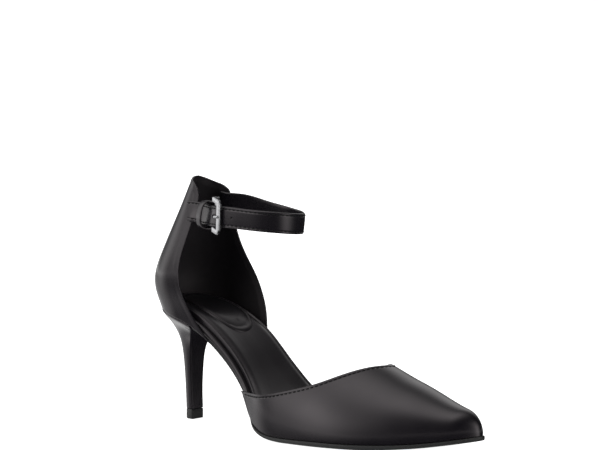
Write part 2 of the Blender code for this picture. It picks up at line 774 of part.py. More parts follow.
def build_buckle(place, steps=5, arm_steps=8):
    """Rectangular frame with rounded corners, its arms dipping between strap and tab."""
    across = (BUCKLE_LENGTH - BUCKLE_BAR) / 2 - BUCKLE_BEND
    tall = (BUCKLE_HEIGHT - BUCKLE_BAR) / 2 - BUCKLE_BEND
    path = []
    for turn, (side, top) in enumerate(((1, 1), (-1, 1), (-1, -1), (1, -1))):
        for step in range(steps):
            path.append((side * across, top * tall, math.pi / 2 * (turn + step / (steps - 1))))
        if turn in (0, 2):
            for share in np.linspace(1, -1, arm_steps)[1:-1]:
                path.append((share * side * across, top * tall, math.pi / 2 * (turn + 1)))
    section = cut_corners(BUCKLE_BAR, BUCKLE_THICK, BUCKLE_CORNER)
    rings = []
    for run_at, up_at, angle in path:
        ring = []
        for out, wide in section:
            run = run_at + math.cos(angle) * (BUCKLE_BEND + wide)
            up = up_at + math.sin(angle) * (BUCKLE_BEND + wide)
            ring.append(place.at(run, buckle_lean(run) + out, up))
        rings.append(np.array(ring))
    return add_loop("buckle_frame", rings, NICKEL)


def build_prong(place):
    """Pin from the hinge bar, out through the strap's slot, to rest on the front bar."""
    half = (BUCKLE_LENGTH - BUCKLE_BAR) / 2
    clear = buckle_lean(-half)
    rest = BUCKLE_THICK / 2 + FIT_GAP + PRONG_THICK / 2
    stops = [(half - BUCKLE_BAR / 2 - FIT_GAP, buckle_lean(half))]
    stops += [(half * run, clear * out) for run, out in PRONG_ROWS]
    stops.append((-half / 2, PRONG_ARCH * (clear + rest)))
    stops += [(run, clear + rest) for run in (-half, -half - BUCKLE_BAR / 2)]
    section = cut_corners(PRONG_WIDTH, PRONG_THICK, PRONG_CORNER)
    rings = [np.array([place.at(run, out + o, up) for o, up in section]) for run, out in stops]
    return add_rings("buckle_prong", rings, NICKEL)


def cut_slot(strap, place, around=16):
    """Slot through the strap for the prong."""
    reach, tall = SLOT_LENGTH / 2, SLOT_HEIGHT / 2
    rings = []
    for out in (-2 * STRAP_THICK, 2 * STRAP_THICK):
        ring = []
        for angle in np.arange(around) / around * 2 * math.pi:
            run = math.copysign(reach - tall, math.cos(angle)) + tall * math.cos(angle)
            ring.append(place.at(run, out, tall * math.sin(angle)))
        rings.append(np.array(ring))
    cutter = add_rings("prong_slot", rings, LEATHER)
    cutter.hide_render = True
    cutter.display_type = "WIRE"
    cut = strap.modifiers.new("prong_slot", "BOOLEAN")
    cut.operation = "DIFFERENCE"
    cut.solver = "EXACT"
    cut.object = cutter


def clear_scene():
    for item in list(bpy.data.objects):
        bpy.data.objects.remove(item, do_unlink=True)


def main():
    clear_scene()
    build_outsole()
    build_heel()
    build_heel_tip()
    build_insole()
    build_sock()
    build_pad()
    build_vamp()
    build_quarter()
    build_fastening()


main()
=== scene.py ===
"""Looks of a right-foot dorsay pump: leather, lining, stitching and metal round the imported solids.

Sizes are in millimetres. Stations run forward from the back of the heel: x to the toe,
y to the medial side (the wearer's left), z up from the floor. Blender gets metres.
"""

import math

import bmesh
import bpy
import numpy as np
from mathutils import Matrix, Vector
from mathutils.kdtree import KDTree


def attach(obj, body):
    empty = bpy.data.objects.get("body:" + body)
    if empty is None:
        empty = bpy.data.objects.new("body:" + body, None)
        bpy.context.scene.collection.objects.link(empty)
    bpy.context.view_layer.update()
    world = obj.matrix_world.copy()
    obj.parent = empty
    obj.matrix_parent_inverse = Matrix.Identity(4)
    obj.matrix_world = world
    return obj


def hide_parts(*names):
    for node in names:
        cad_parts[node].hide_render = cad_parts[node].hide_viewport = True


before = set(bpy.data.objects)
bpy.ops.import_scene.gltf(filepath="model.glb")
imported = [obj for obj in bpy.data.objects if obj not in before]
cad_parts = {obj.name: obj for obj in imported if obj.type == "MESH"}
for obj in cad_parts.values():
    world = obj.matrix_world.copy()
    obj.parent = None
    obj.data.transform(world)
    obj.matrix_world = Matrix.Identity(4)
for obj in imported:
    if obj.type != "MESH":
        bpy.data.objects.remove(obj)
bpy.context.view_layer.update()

MM = 0.001

# Sizes shared with the solids
SHOE_LENGTH = 235.6
SEAT_BACK = 4.0
HEEL_BREAST = 41.0
FIT_GAP = 0.3
HEEL_ROUND = 26.0
TOE_ROUND, TOE_POWER = 12.0, 2.4
VAMP_WALL = 1.7
VAMP_TUCK = 0.5
SKIVE_END, SKIVE_FADE = 106.0, 24.0
MEDIAL_SLIM = 0.2
QUARTER_WALL = 1.8
SEAT_GUESS = 65.0
INSOLE_THICK = 3.2
INSOLE_EASE = 0.1
INSOLE_INSET = QUARTER_WALL + FIT_GAP + INSOLE_EASE
CUP_RISE, MEDIAL_CUP, CUP_POWER = 1.8, 1.2, 4
CUP_END, CUP_FADE = 130.0, 40.0
SOCK_MARGIN = 3.0
SOCK_INSET = INSOLE_INSET + SOCK_MARGIN
SOCK_END = 226.0
PAD_BACK, PAD_FRONT, PAD_HALF, PAD_SHIFT = 13.0, 62.0, 14.5, 3.5
PAD_POWER = 2.4
PAD_LIFT = 3.9
SOLE_WELT = 1.0
SOLE_WAIST_INSET = 2.6
WAIST_END, WAIST_FADE = 106.0, 20.0
SOLE_EDGE_LIFT, SOLE_EDGE_POWER = 0.7, 3
SOLE_FLAT = 0.55
TIP_HEIGHT = 6.0
STRAP_WIDTH = 12.5
STRAP_THICK = 1.9
STRAP_PAST_KEEPER = 2.5
TAB_HEIGHT = 129.4
TAB_SLANT = 0.3
TAB_EASE = 0.9
TAB_SHARES = (-0.98, -0.92, -0.86)
KEEPER_WIDTH, KEEPER_HEIGHT, KEEPER_DEPTH, KEEPER_WALL = 5.5, 17.4, 10.2, 1.2
KEEPER_EASE, KEEPER_SQUARE, KEEPER_PUFF = 0.65, 0.4, 0.8
KEEPER_BACK = 5.0
BUCKLE_HEIGHT, BUCKLE_LENGTH, BUCKLE_BAR, BUCKLE_THICK = 21.0, 13.4, 3.0, 1.7
BUCKLE_BEND = 1.6
BUCKLE_EASE = 0.3
HINGE_EASE = 0.7
BUCKLE_DIP = 0.1
BUCKLE_BACK = 11.0
PRONG_WIDTH, PRONG_THICK = 1.7, 1.3
PRONG_ARCH = 0.96
SLOT_LENGTH, SLOT_HEIGHT, SLOT_SHIFT = 7.0, 2.6, 0.6
ORIGIN = np.array([118.3, -1.25, 0.0])

# Sizes of the finer details
SHARP_ANGLE = 40.0
STITCH_PITCH, STITCH_LENGTH, STITCH_RADIUS = 2.9, 2.1, 0.3
STITCH_GROOVE_DEPTH, STITCH_GROOVE_WIDTH = 0.22, 0.4
VAMP_STITCH_IN, STRAP_STITCH_IN = 1.5, 1.5
VAMP_CORNER_SHARE = 0.05
FOLD_IN, FOLD_DEPTH, FOLD_WIDTH, FOLD_PUFF = 3.0, 0.05, 0.8, 0.03
EDGE_WALL, EDGE_FADE = 1.1, 4.0
TOP_CORNER_FALL, TOP_CORNER_SHARE = 1.2, 0.04
FOOT_TURN = 0.9
BREAST_CLEAR = 0.5
HEEL_CORNER = 0.9
HEEL_LIP, HEEL_FOOT_EDGE = 1.0, 0.25
BAND_CORNER, BAND_CROWN, BAND_SINK = 0.75, 0.12, 0.1
SLANT_REACH = 6.0
STRAP_SEAM_START, SEAM_STOP, TAB_SEAM_STOP = 14.0, 1.0, 1.5
HOLE_RADIUS, HOLE_BEFORE_BUCKLE = 0.7, 13.0
KEEPER_RIM, KEEPER_RIM_POWER = 0.25, 6
KEEPER_SIDE_POWER, KEEPER_FACE_POWER = 0.35, 0.7
ARM_RISE = 0.35
BAR_SQUARE, BAR_AROUND = 0.35, 36
BAR_GROOVE_DEPTH, BAR_GROOVE_WIDTH = 0.7, 0.7
PRONG_SQUARE, PRONG_BLUNT, PRONG_TIP_SHARE = 0.8, 0.15, 1 / 6

# Steps for slopes and distances
EDGE_STEP, STATION_STEP, SHARE_STEP = 0.02, 0.005, 0.001
QUARTER_SHARE_STEP, QUARTER_HEIGHT_STEP = 0.01, 1.5
STITCH_STEP, DENSE_STEP = 0.3, 0.1

# Lengths that count as nothing: between points to weld and along edges, in metres, and elsewhere
WELD_WITHIN, FLAT_WITHIN, TINY = 1e-6, 1e-7, 1e-9

# Rows of points: those left bare at each end of the vamp's seam, and those that show where a rim faces
SEAM_SKIP, RIM_LOOK = 6, 4

# Rounded end of a band: distance from the end, and share of the thickness
BAND_ENDS = ((0.0, 0.35), (0.15, 0.75), (0.45, 1.0))

# Rounded edges of outsole and insole: distance in from the edge, and share of the height
OUTSOLE_RIM = ((0.5, 0.0), (0.15, 0.1), (0.0, 0.3), (0.0, 0.7), (0.15, 0.92), (0.5, 1.0))
INSOLE_RIM = ((0.5, 0.0), (0.12, 0.12), (0.0, 0.3), (0.0, 0.6), (0.2, 0.84), (0.55, 0.96), (1.0, 1.0))

# Heel tip: height, and share of the size of the heel's foot
TIP_RINGS = ((0.0, 0.94), (0.2, 0.97), (0.6, 1.0), (5.7, 1.0), (TIP_HEIGHT, 0.95))

# Rings of the lip at the top of the heel: shares of its height
HEEL_LIP_SHARES = (0.35, 0.7, 0.9, 1.0)

# Plan and profile of the last, a row for each station from heel to toe
LAST_COLUMNS = ("station", "feather", "arch", "lateral", "medial", "sole")
LAST_ROWS = (
    (4.0, 70.2, 0.0, 25.6, 25.6, 2.2),
    (20.0, 66.6, 0.0, 25.6, 25.6, 2.2),
    (40.0, 61.2, 0.6, 25.2, 25.2, 2.2),
    (52.0, 55.6, 1.8, 24.2, 24.2, 2.2),
    (62.0, 48.6, 3.2, 23.2, 24.8, 2.2),
    (72.0, 39.8, 4.2, 23.0, 25.0, 2.2),
    (82.0, 29.6, 4.8, 25.0, 25.0, 2.2),
    (92.0, 20.0, 4.8, 30.6, 25.4, 2.2),
    (102.0, 11.9, 4.0, 36.0, 26.6, 2.3),
    (112.0, 6.9, 2.7, 39.0, 28.4, 2.6),
    (124.0, 4.3, 1.2, 39.8, 31.0, 3.0),
    (136.0, 3.5, 0.3, 39.6, 34.6, 3.4),
    (148.0, 3.4, 0.0, 38.6, 36.8, 3.6),
    (160.0, 3.4, 0.0, 36.4, 37.4, 3.7),
    (175.0, 3.5, 0.0, 31.8, 36.2, 3.7),
    (190.0, 4.1, 0.0, 25.4, 33.0, 3.4),
    (204.0, 5.2, 0.0, 18.2, 28.6, 3.1),
    (216.0, 6.8, 0.0, 11.4, 23.6, 2.8),
    (225.0, 8.3, 0.0, 6.0, 19.0, 2.7),
    (236.0, 10.4, 0.0, -2.0, 13.0, 2.6),
)

# Vamp sections: ridge height over the feather line, ridge shift, slimness, peak and side swell
VAMP_COLUMNS = ("station", "rise", "ridge", "slim", "peak", "swell")
VAMP_ROWS = (
    (78.0, 68.0, 4.0, 0.05, 1.08, 0.4),
    (95.0, 64.0, 4.0, 0.05, 1.10, 1.6),
    (115.0, 59.5, 4.0, 0.07, 1.12, 2.2),
    (135.0, 54.5, 3.5, 0.07, 1.12, 1.8),
    (160.0, 46.6, 2.6, 0.09, 1.14, 1.6),
    (176.0, 40.0, 1.8, 0.09, 1.14, 1.6),
    (186.0, 35.4, 1.6, 0.07, 1.10, 1.6),
    (196.0, 31.0, 1.4, 0.045, 1.06, 1.5),
    (206.0, 25.9, 1.2, 0.02, 1.02, 1.4),
    (214.0, 21.6, 1.0, 0.0, 1.00, 1.2),
    (225.0, 16.5, 0.5, 0.0, 1.00, 0.9),
    (236.0, 12.4, 0.0, 0.0, 1.00, 0.5),
)

# Throat line: share of the girth from lateral to medial feather, and its station
THROAT_COLUMNS = ("share", "station")
THROAT_ROWS = (
    (0.00, 82.0), (0.06, 92.4), (0.12, 107.0), (0.16, 122.2), (0.20, 137.5),
    (0.25, 149.5), (0.30, 157.0), (0.40, 167.0), (0.48, 171.4), (0.53, 171.8),
    (0.60, 167.5), (0.70, 155.0), (0.80, 138.0), (0.90, 116.0), (1.00, 93.0),
)

# Quarter levels: back station, half width, round of the back, and where the two front edges stand
QUARTER_COLUMNS = ("height", "back", "half", "round", "lateral", "medial")
QUARTER_ROWS = (
    (54.0, 9.0, 24.2, 26.0, 53.5, 60.5),
    (62.0, 6.4, 25.0, 26.0, 46.4, 59.4),
    (70.0, 4.0, 26.2, 26.2, 41.2, 57.2),
    (78.0, 1.1, 28.0, 27.0, 37.6, 53.0),
    (88.0, 0.0, 29.4, 28.0, 35.3, 46.8),
    (98.0, 2.7, 28.6, 27.0, 35.0, 40.8),
    (108.0, 6.9, 25.8, 24.4, 35.9, 37.4),
    (118.0, 11.1, 22.0, 20.8, 37.1, 36.8),
    (128.0, 15.4, 18.2, 17.2, 38.2, 37.4),
    (138.0, 19.8, 15.2, 14.2, 38.6, 38.2),
    (146.0, 23.4, 13.5, 12.4, 37.4, 37.4),
    (152.0, 26.2, 12.6, 11.4, 35.8, 35.8),
)

# Top line of the quarter: share of the way from the back seam to a front edge, and its height
TOPLINE_COLUMNS = ("share", "lateral", "medial")
TOPLINE_ROWS = (
    (0.00, 149.9, 149.9),
    (0.35, 149.4, 148.0),
    (0.65, 147.6, 145.4),
    (0.88, 144.8, 143.2),
    (1.00, 141.5, 141.2),
)

# Heel rings: height, share of the seat's slope, back, breast, half width and fullness
HEEL_COLUMNS = ("height", "slope", "back", "breast", "half", "full")
HEEL_ROWS = (
    (TIP_HEIGHT + FIT_GAP, 0.0, 17.0, 24.9, 5.1, 2.3),
    (20.0, 0.0, 16.5, 24.3, 5.4, 2.3),
    (30.0, 0.0, 15.9, 24.4, 5.9, 2.3),
    (38.0, 0.05, 15.2, 24.7, 6.5, 2.3),
    (45.0, 0.15, 14.1, 25.6, 7.5, 2.3),
    (51.0, 0.35, 12.5, 27.6, 9.6, 2.35),
    (56.0, 0.60, 10.2, 31.0, 13.2, 2.45),
    (60.5, 0.85, 7.5, 35.6, 18.4, 2.55),
    (63.6, 1.0, 5.3, 39.2, 22.8, 2.6),
    (65.6, 1.0, 4.5, HEEL_BREAST, 24.8, 2.65),
)

# Ankle strap from the medial front edge round the instep to the buckle: centre and outward lean
STRAP_ROWS = (
    (47.0, 17.4, 132.6, -0.10),
    (58.0, 22.4, 129.4, 0.0),
    (70.0, 25.4, 126.6, 0.05),
    (81.0, 25.0, 124.8, 0.08),
    (91.0, 20.4, 123.8, 0.10),
    (99.0, 11.6, 123.6, 0.10),
    (104.6, 5.8, 124.3, 0.10),
    (108.4, -2.5, 124.7, 0.10),
    (108.4, -10.5, 125.3, 0.10),
    (104.5, -18.5, 126.1, 0.10),
    (96.9, -23.6, 126.8, 0.08),
    (84.0, -26.8, 127.7, 0.05),
    (74.0, -28.2, 128.3, 0.0),
    (64.0, -26.8, 128.2, -0.05),
    (55.0, -23.4, 128.4, -0.15),
    (47.0, -20.8, 128.9, -0.25),
)

# Where the strap is sewn inside the medial quarter: share of the quarter and height
ANCHOR_ROWS = ((0.80, 135.4), (0.98, 134.6))

# Prong from hinge to front bar: share of the half length and share of the frame's clearance
PRONG_ROWS = ((0.45, -0.55), (0.10, 0.35))

# Stitch: share of its length, drop and thickness as shares of the thread's radius
STITCH_RINGS = ((-0.5, -1.1, 0.45), (-0.36, -0.2, 0.9), (0.0, 0.1, 1.0), (0.36, -0.2, 0.9), (0.5, -1.1, 0.45))

# Padded sock: distance in from its edge, and height over the insole, its first rows round the rim
SOCK_RIM_ROWS = 13
SOCK_SECTION = (
    (0.0, 0.5), (0.0, 2.8), (0.08, 3.2), (0.25, 3.45), (0.5, 3.52), (0.75, 3.42),
    (1.0, 3.18), (1.25, 3.02), (1.55, 3.08), (2.1, 3.5), (3.0, 4.05), (4.2, 4.45),
    (5.5, 4.5), (7.5, 4.3), (10.0, 4.05), (14.0, 3.85), (40.0, 3.75),
)

# Heel pad: distance in from its edge, and height over the sock, its first rows round the rim
PAD_RIM_ROWS = 8
PAD_SECTION = (
    (0.0, 0.35), (0.3, 0.8), (0.8, 1.0), (1.3, 0.85), (1.7, 0.55),
    (2.1, 0.8), (3.0, 1.2), (5.0, 1.4), (8.0, 1.45), (20.0, 1.45),
)

# Camera: where it stands, what it looks at and where that falls in the picture
CAMERA_AZIMUTH, CAMERA_ELEVATION, CAMERA_ROLL = 40.45, 6.8, -0.13
CAMERA_DISTANCE = 1.5
CAMERA_AIM = (-0.01315, 0.00125, 0.06)
AIM_RIGHT, AIM_UP = -0.000992, -0.04242
LENS, SENSOR = 151.2, 36.0
CAMERA_CLIP = (0.05, 200.0)

# Leather: a faint warmth in its sheen, its dressing, and how far its gloss drifts
LEATHER_SHEEN = (1.0, 0.91, 0.93, 1.0)
COAT_WEIGHT, COAT_ROUGHNESS = 0.12, 0.25
GLOSS_DRIFT = 0.04

# Textures: repeats in a metre, depths of relief, and the noise values taken as its limits
CLOUD_SCALE, CELL_SCALE, PORE_SCALE = 70.0, 1300.0, 2600.0
FLECK_SCALE, TWIST_SCALE, HAZE_SCALE = 1500.0, 5000.0, 400.0
CELL_DEPTH, PORE_DEPTH, FLECK_DEPTH, TWIST_DEPTH = 0.008, 0.0048, 0.03, 0.05
NOISE_LOW, NOISE_HIGH = 0.3, 0.7

# Soft white patches of the tent round the shoe: azimuth, elevation and brightness
PATCHES = (
    (0.0, 90.0, 1.0),
    (0.0, 65.0, 1.5),
    (336.0, 42.0, 0.7),
    (338.0, 18.0, 2.2),
    (288.0, 42.0, 1.4),
    (286.0, 14.0, 1.0),
    (282.0, -12.0, 0.7),
    (300.0, -48.0, 1.6),
    (240.0, -24.0, 1.05),
    (202.0, 38.0, 1.3),
    (96.0, 15.0, 1.5),
    (96.0, -10.0, 1.1),
)
PATCH_FOCUS = 16.0
FLOOR_SIZE = 40.0
FLOOR_COLOUR = (0.86, 0.86, 0.86, 1.0)
FLOOR_ROUGHNESS, FLOOR_GLOW = 0.9, 0.98
WHITE = (1.0, 1.0, 1.0, 1.0)
SKY_LIGHT, HORIZON_LIGHT = 0.01, 1.0
HORIZON_FROM, HORIZON_TO = 0.01, 0.03


def natural_cubic(xs, ys):
    """A smooth curve through the points, straight beyond both ends."""
    xs, ys = np.asarray(xs, float), np.asarray(ys, float)
    n, step = len(xs), np.diff(xs)
    slope = np.diff(ys) / step
    matrix, right = np.eye(n), np.zeros(n)
    for i in range(1, n - 1):
        matrix[i, i - 1 : i + 2] = step[i - 1], 2 * (step[i - 1] + step[i]), step[i]
        right[i] = 6 * (slope[i] - slope[i - 1])
    bend = np.linalg.solve(matrix, right)

    def curve(x):
        x = np.asarray(x, float)
        i = np.clip(np.searchsorted(xs, x) - 1, 0, n - 2)
        h = step[i]
        a = np.clip(x - xs[i], 0, h)
        first = slope[i] - h * (2 * bend[i] + bend[i + 1]) / 6
        third = (bend[i + 1] - bend[i]) / h
        value = ys[i] + a * (first + a * (bend[i] / 2 + a * third / 6))
        rate = first + a * (bend[i] + a * third / 2)
        return value + rate * (x - xs[i] - a)

    return curve


def curves_of(columns, rows):
    """One smooth curve over the first column for each of the other columns."""
    table = np.array(rows, float)
    return {name: natural_cubic(table[:, 0], table[:, k]) for k, name in enumerate(columns) if k}


LAST = curves_of(LAST_COLUMNS, LAST_ROWS)
VAMP = curves_of(VAMP_COLUMNS, VAMP_ROWS)
THROAT = curves_of(THROAT_COLUMNS, THROAT_ROWS)
QUARTER = curves_of(QUARTER_COLUMNS, QUARTER_ROWS)
TOPLINE = curves_of(TOPLINE_COLUMNS, TOPLINE_ROWS)
HEEL = curves_of(HEEL_COLUMNS, HEEL_ROWS)


def unit(vectors):
    """Vectors along the last axis, each made one long."""
    vectors = np.asarray(vectors, float)
    return vectors / np.maximum(np.linalg.norm(vectors, axis=-1, keepdims=True), TINY)


def smooth_step(share):
    s = np.clip(share, 0.0, 1.0)
    return s * s * (3 - 2 * s)


def round_off(share, power=2.0):
    """From 0 to 1 along a quarter circle, or a fuller curve, then 1."""
    s = np.clip(share, 0.0, 1.0)
    return np.maximum(0.0, 1 - (1 - s) ** power) ** (1 / power)


def toe_end(x):
    """1 along the shoe, falling to 0 round the tip of the toe."""
    return round_off((SHOE_LENGTH - x) / TOE_ROUND, TOE_POWER)


def dip(distance, middle, width):
    """Soft trough of depth 1 at one distance from an edge."""
    return np.exp(-(((distance - middle) / width) ** 2))


def eased(start, end, count):
    """Values that crowd towards both ends."""
    return start + (end - start) * (1 - np.cos(np.linspace(0, math.pi, count))) / 2


def crowded(start, end, count, crowd=0.5):
    """Values between even steps and eased ones."""
    even = np.linspace(start, end, count)
    return even + (eased(start, end, count) - even) * crowd


def signed_power(value, power):
    return np.sign(value) * np.abs(value) ** power


def full_turn(count):
    """Angles once round, the first not repeated."""
    return np.arange(count) / count * 2 * math.pi


# The last


def edge_line(x, side):
    """Side station of the last's edge, side -1 lateral or +1 medial, rounded at heel and toe."""
    lateral, medial = LAST["lateral"](x), LAST["medial"](x)
    centre, half = (medial - lateral) / 2, (medial + lateral) / 2
    ends = round_off((x - SEAT_BACK) / HEEL_ROUND) * toe_end(x)
    return centre + side * half * ends


def last_edge(x, side, inset):
    """Plan point on the last's edge, moved in square to the edge."""
    near, far = max(x - EDGE_STEP, SEAT_BACK), min(x + EDGE_STEP, SHOE_LENGTH)
    run = unit(np.array([far - near, edge_line(far, side) - edge_line(near, side)]))
    return np.array([x + side * inset * run[1], edge_line(x, side) - side * inset * run[0]])


def across_last(x, y):
    """-1 at the lateral edge, 0 midway, +1 at the medial edge."""
    lateral, medial = LAST["lateral"](x), LAST["medial"](x)
    return np.clip((2 * y - medial + lateral) / (medial + lateral), -1, 1)


def feather(x, y):
    """Height of the last's bottom, lifted towards the arch on the medial side of the waist."""
    return LAST["feather"](x) + LAST["arch"](x) * across_last(x, y)


def sole_floor(x, y):
    """Underside of the outsole: it lies flat on the floor under the ball."""
    rim = np.maximum(0.0, (abs(across_last(x, y)) - SOLE_FLAT) / (1 - SOLE_FLAT))
    return np.maximum(0.0, feather(x, y) - LAST["sole"](x)) + SOLE_EDGE_LIFT * rim**SOLE_EDGE_POWER


def insole_top(x, y):
    """Top of the insole, cupped towards its edges behind the ball."""
    fade, side = np.clip((CUP_END - x) / CUP_FADE, 0, 1), across_last(x, y)
    rise = (CUP_RISE + MEDIAL_CUP * (side > 0)) * fade * side**CUP_POWER
    return feather(x, y) + FIT_GAP + INSOLE_THICK + rise


def sock_floor(x, y):
    return insole_top(x, y) + FIT_GAP


def last_stations(heel_count=30, middle_count=120, toe_count=20):
    """Stations of the pieces under the foot, closer together round the heel and toe."""
    heel = SEAT_BACK + HEEL_ROUND * (1 - np.cos(np.linspace(0, math.pi / 2, heel_count)))
    toe = SHOE_LENGTH - TOE_ROUND * (1 - np.cos(np.linspace(math.pi / 2, 0, toe_count)))
    middle = np.linspace(heel[-1], toe[0], middle_count)
    return np.concatenate([heel[:-1], middle, toe[1:]])


# Mesh making


def quads(rows, columns, start, wrap):
    """Faces of a grid of points, closed along its columns when it wraps."""
    i, j = np.meshgrid(np.arange(rows - 1), np.arange(columns if wrap else columns - 1), indexing="ij")
    k = (j + 1) % columns
    corners = (i * columns + j, i * columns + k, (i + 1) * columns + k, (i + 1) * columns + j)
    return (np.stack(corners, axis=-1).reshape(-1, 4) + start).tolist()


def add_piece(name, grids, finishes, caps=()):
    """One object from grids (points, finish number, wraps) and closing polygons."""
    points, faces, numbers, start = [], [], [], 0
    for grid, number, wrap in grids:
        made = quads(grid.shape[0], grid.shape[1], start, wrap)
        faces += made
        numbers += [number] * len(made)
        points.append(grid.reshape(-1, 3))
        start += grid.shape[0] * grid.shape[1]
    for ring, number in caps:
        faces.append(list(range(start, start + len(ring))))
        numbers.append(number)
        points.append(ring)
        start += len(ring)
    mesh = bpy.data.meshes.new(name)
    mesh.from_pydata(((np.concatenate(points) - ORIGIN) * MM).tolist(), [], faces)
    mesh.polygons.foreach_set("material_index", numbers)
    for finish in finishes:
        mesh.materials.append(finish)
    weld(mesh)
    mesh.shade_smooth()
    mesh.set_sharp_from_angle(angle=math.radians(SHARP_ANGLE))
    piece = bpy.data.objects.new(name, mesh)
    bpy.context.scene.collection.objects.link(piece)
    return piece


def add_rings(name, rings, finish, closed=()):
    """One object from a stack of rings, closed at the rings that are named."""
    rings = np.array(rings)
    return add_piece(name, [(rings, 0, True)], (finish,), [(rings[k], 0) for k in closed])


def weld(mesh):
    """Joins points that coincide, drops flat faces and turns all faces outwards."""
    shape = bmesh.new()
    shape.from_mesh(mesh)
    bmesh.ops.remove_doubles(shape, verts=shape.verts, dist=WELD_WITHIN)
    bmesh.ops.dissolve_degenerate(shape, edges=shape.edges, dist=FLAT_WITHIN)
    bmesh.ops.recalc_face_normals(shape, faces=shape.faces)
    if shape.calc_volume(signed=True) < 0:
        bmesh.ops.reverse_faces(shape, faces=shape.faces)
    shape.to_mesh(mesh)
    shape.free()


def stand_for(piece, node):
    """The piece rides on the shoe and is shown in place of the node."""
    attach(piece, "root")
    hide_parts(node)


def running_length(line):
    return np.concatenate([[0.0], np.cumsum(np.linalg.norm(np.diff(line, axis=0), axis=1))])


def resampled(line, step):
    """The line with points at an even step along it."""
    length = running_length(line)
    where = np.linspace(0, length[-1], max(2, round(length[-1] / step) + 1))
    return np.stack([np.interp(where, length, line[:, k]) for k in range(3)], axis=1)


def distance_to(points, line):
    """Distance of each point of a grid from a line."""
    dense = resampled(line, DENSE_STEP)
    tree = KDTree(len(dense))
    for i, point in enumerate(dense):
        tree.insert(point, i)
    tree.balance()
    flat = points.reshape(-1, 3)
    return np.array([tree.find(p)[2] for p in flat]).reshape(points.shape[:-1])


def thinned(wall, away):
    """Thickness of a wall that is pared down towards an edge."""
    pared = EDGE_WALL + (wall - EDGE_WALL) * smooth_step(away / EDGE_FADE)
    return np.minimum(wall, pared)[..., None]


def rim_rows(outer, inner, outward, fullness=1.0, steps=8):
    """Rounded edge from an outer to an inner line, swelling outwards."""
    middle, half = (outer + inner) / 2, (outer - inner) / 2
    across = unit(half)
    away = outward - across * np.sum(outward * across, axis=-1, keepdims=True)
    swell = unit(away) * np.linalg.norm(half, axis=-1, keepdims=True) * fullness
    turns = np.linspace(0, math.pi, steps + 1)
    return np.stack([middle + half * math.cos(t) + swell * math.sin(t) for t in turns])


def stitch_shape(sides=6):
    """One stitch along x: rings of a thread that dives at both ends."""
    rings = []
    turns = full_turn(sides)
    for along, drop, scale in STITCH_RINGS:
        across, up = np.cos(turns) * scale * STITCH_RADIUS, (np.sin(turns) * scale + drop) * STITCH_RADIUS
        rings.append(np.stack([np.full(sides, along * STITCH_LENGTH), across, up], axis=1))
    return np.array(rings)


def stitch_grids(line, normals):
    """Grids of a row of stitches along a line that lies on a surface."""
    length = running_length(line)
    shape = stitch_shape()
    grids = []
    for where in np.arange(STITCH_PITCH / 2, length[-1], STITCH_PITCH):
        point, ahead, normal = (
            np.array([np.interp(at, length, table[:, k]) for k in range(3)])
            for at, table in ((where, line), (min(where + STITCH_STEP, length[-1]), line), (where, normals))
        )
        along = unit(ahead - point)
        up = unit(normal - along * np.dot(normal, along))
        frame_of = np.stack([along, np.cross(up, along), up])
        grids.append((point + shape @ frame_of, 0, True))
    return grids


# Upper


def skive(x):
    """1 at the vamp's two back corners, where its wall thins and tucks in, 0 from the ball on."""
    return smooth_step((SKIVE_END - x) / SKIVE_FADE)


def vamp_points(x, share):
    """Outer face of the vamp: share 0 at the lateral feather line, 1 at the medial one."""
    up, over = np.sin(math.pi * share), np.cos(math.pi * share)
    ending = toe_end(x)
    tuck = VAMP_TUCK * skive(x)
    lateral, medial = edge_line(x, -1) + tuck, edge_line(x, 1) - tuck
    ridge = (lateral + medial) / 2 + VAMP["ridge"](x) * ending
    edge = np.where(over > 0, lateral, medial)
    slim = VAMP["slim"](x) + np.where(over < 0, MEDIAL_SLIM, 0.0)
    spread = np.abs(over) * (1 - slim * up**2)
    swell = -np.sign(over) * 2 * up * np.abs(over) * VAMP["swell"](x) * ending
    y = ridge + (edge - ridge) * spread + swell
    foot = feather(x, edge) * spread + LAST["feather"](x) * (1 - spread) + FIT_GAP
    z = foot + VAMP["rise"](x) * ending * np.maximum(up, 0.0) ** VAMP["peak"](x)
    return np.stack([x + 0 * share, y, z], axis=-1)


def vamp_normals(x, share):
    x = np.minimum(x, SHOE_LENGTH - 2 * STATION_STEP)
    share = np.clip(share, 2 * SHARE_STEP, 1 - 2 * SHARE_STEP)
    along = vamp_points(x + STATION_STEP, share) - vamp_points(x - STATION_STEP, share)
    over = vamp_points(x, share + SHARE_STEP) - vamp_points(x, share - SHARE_STEP)
    return unit(np.cross(along, over))


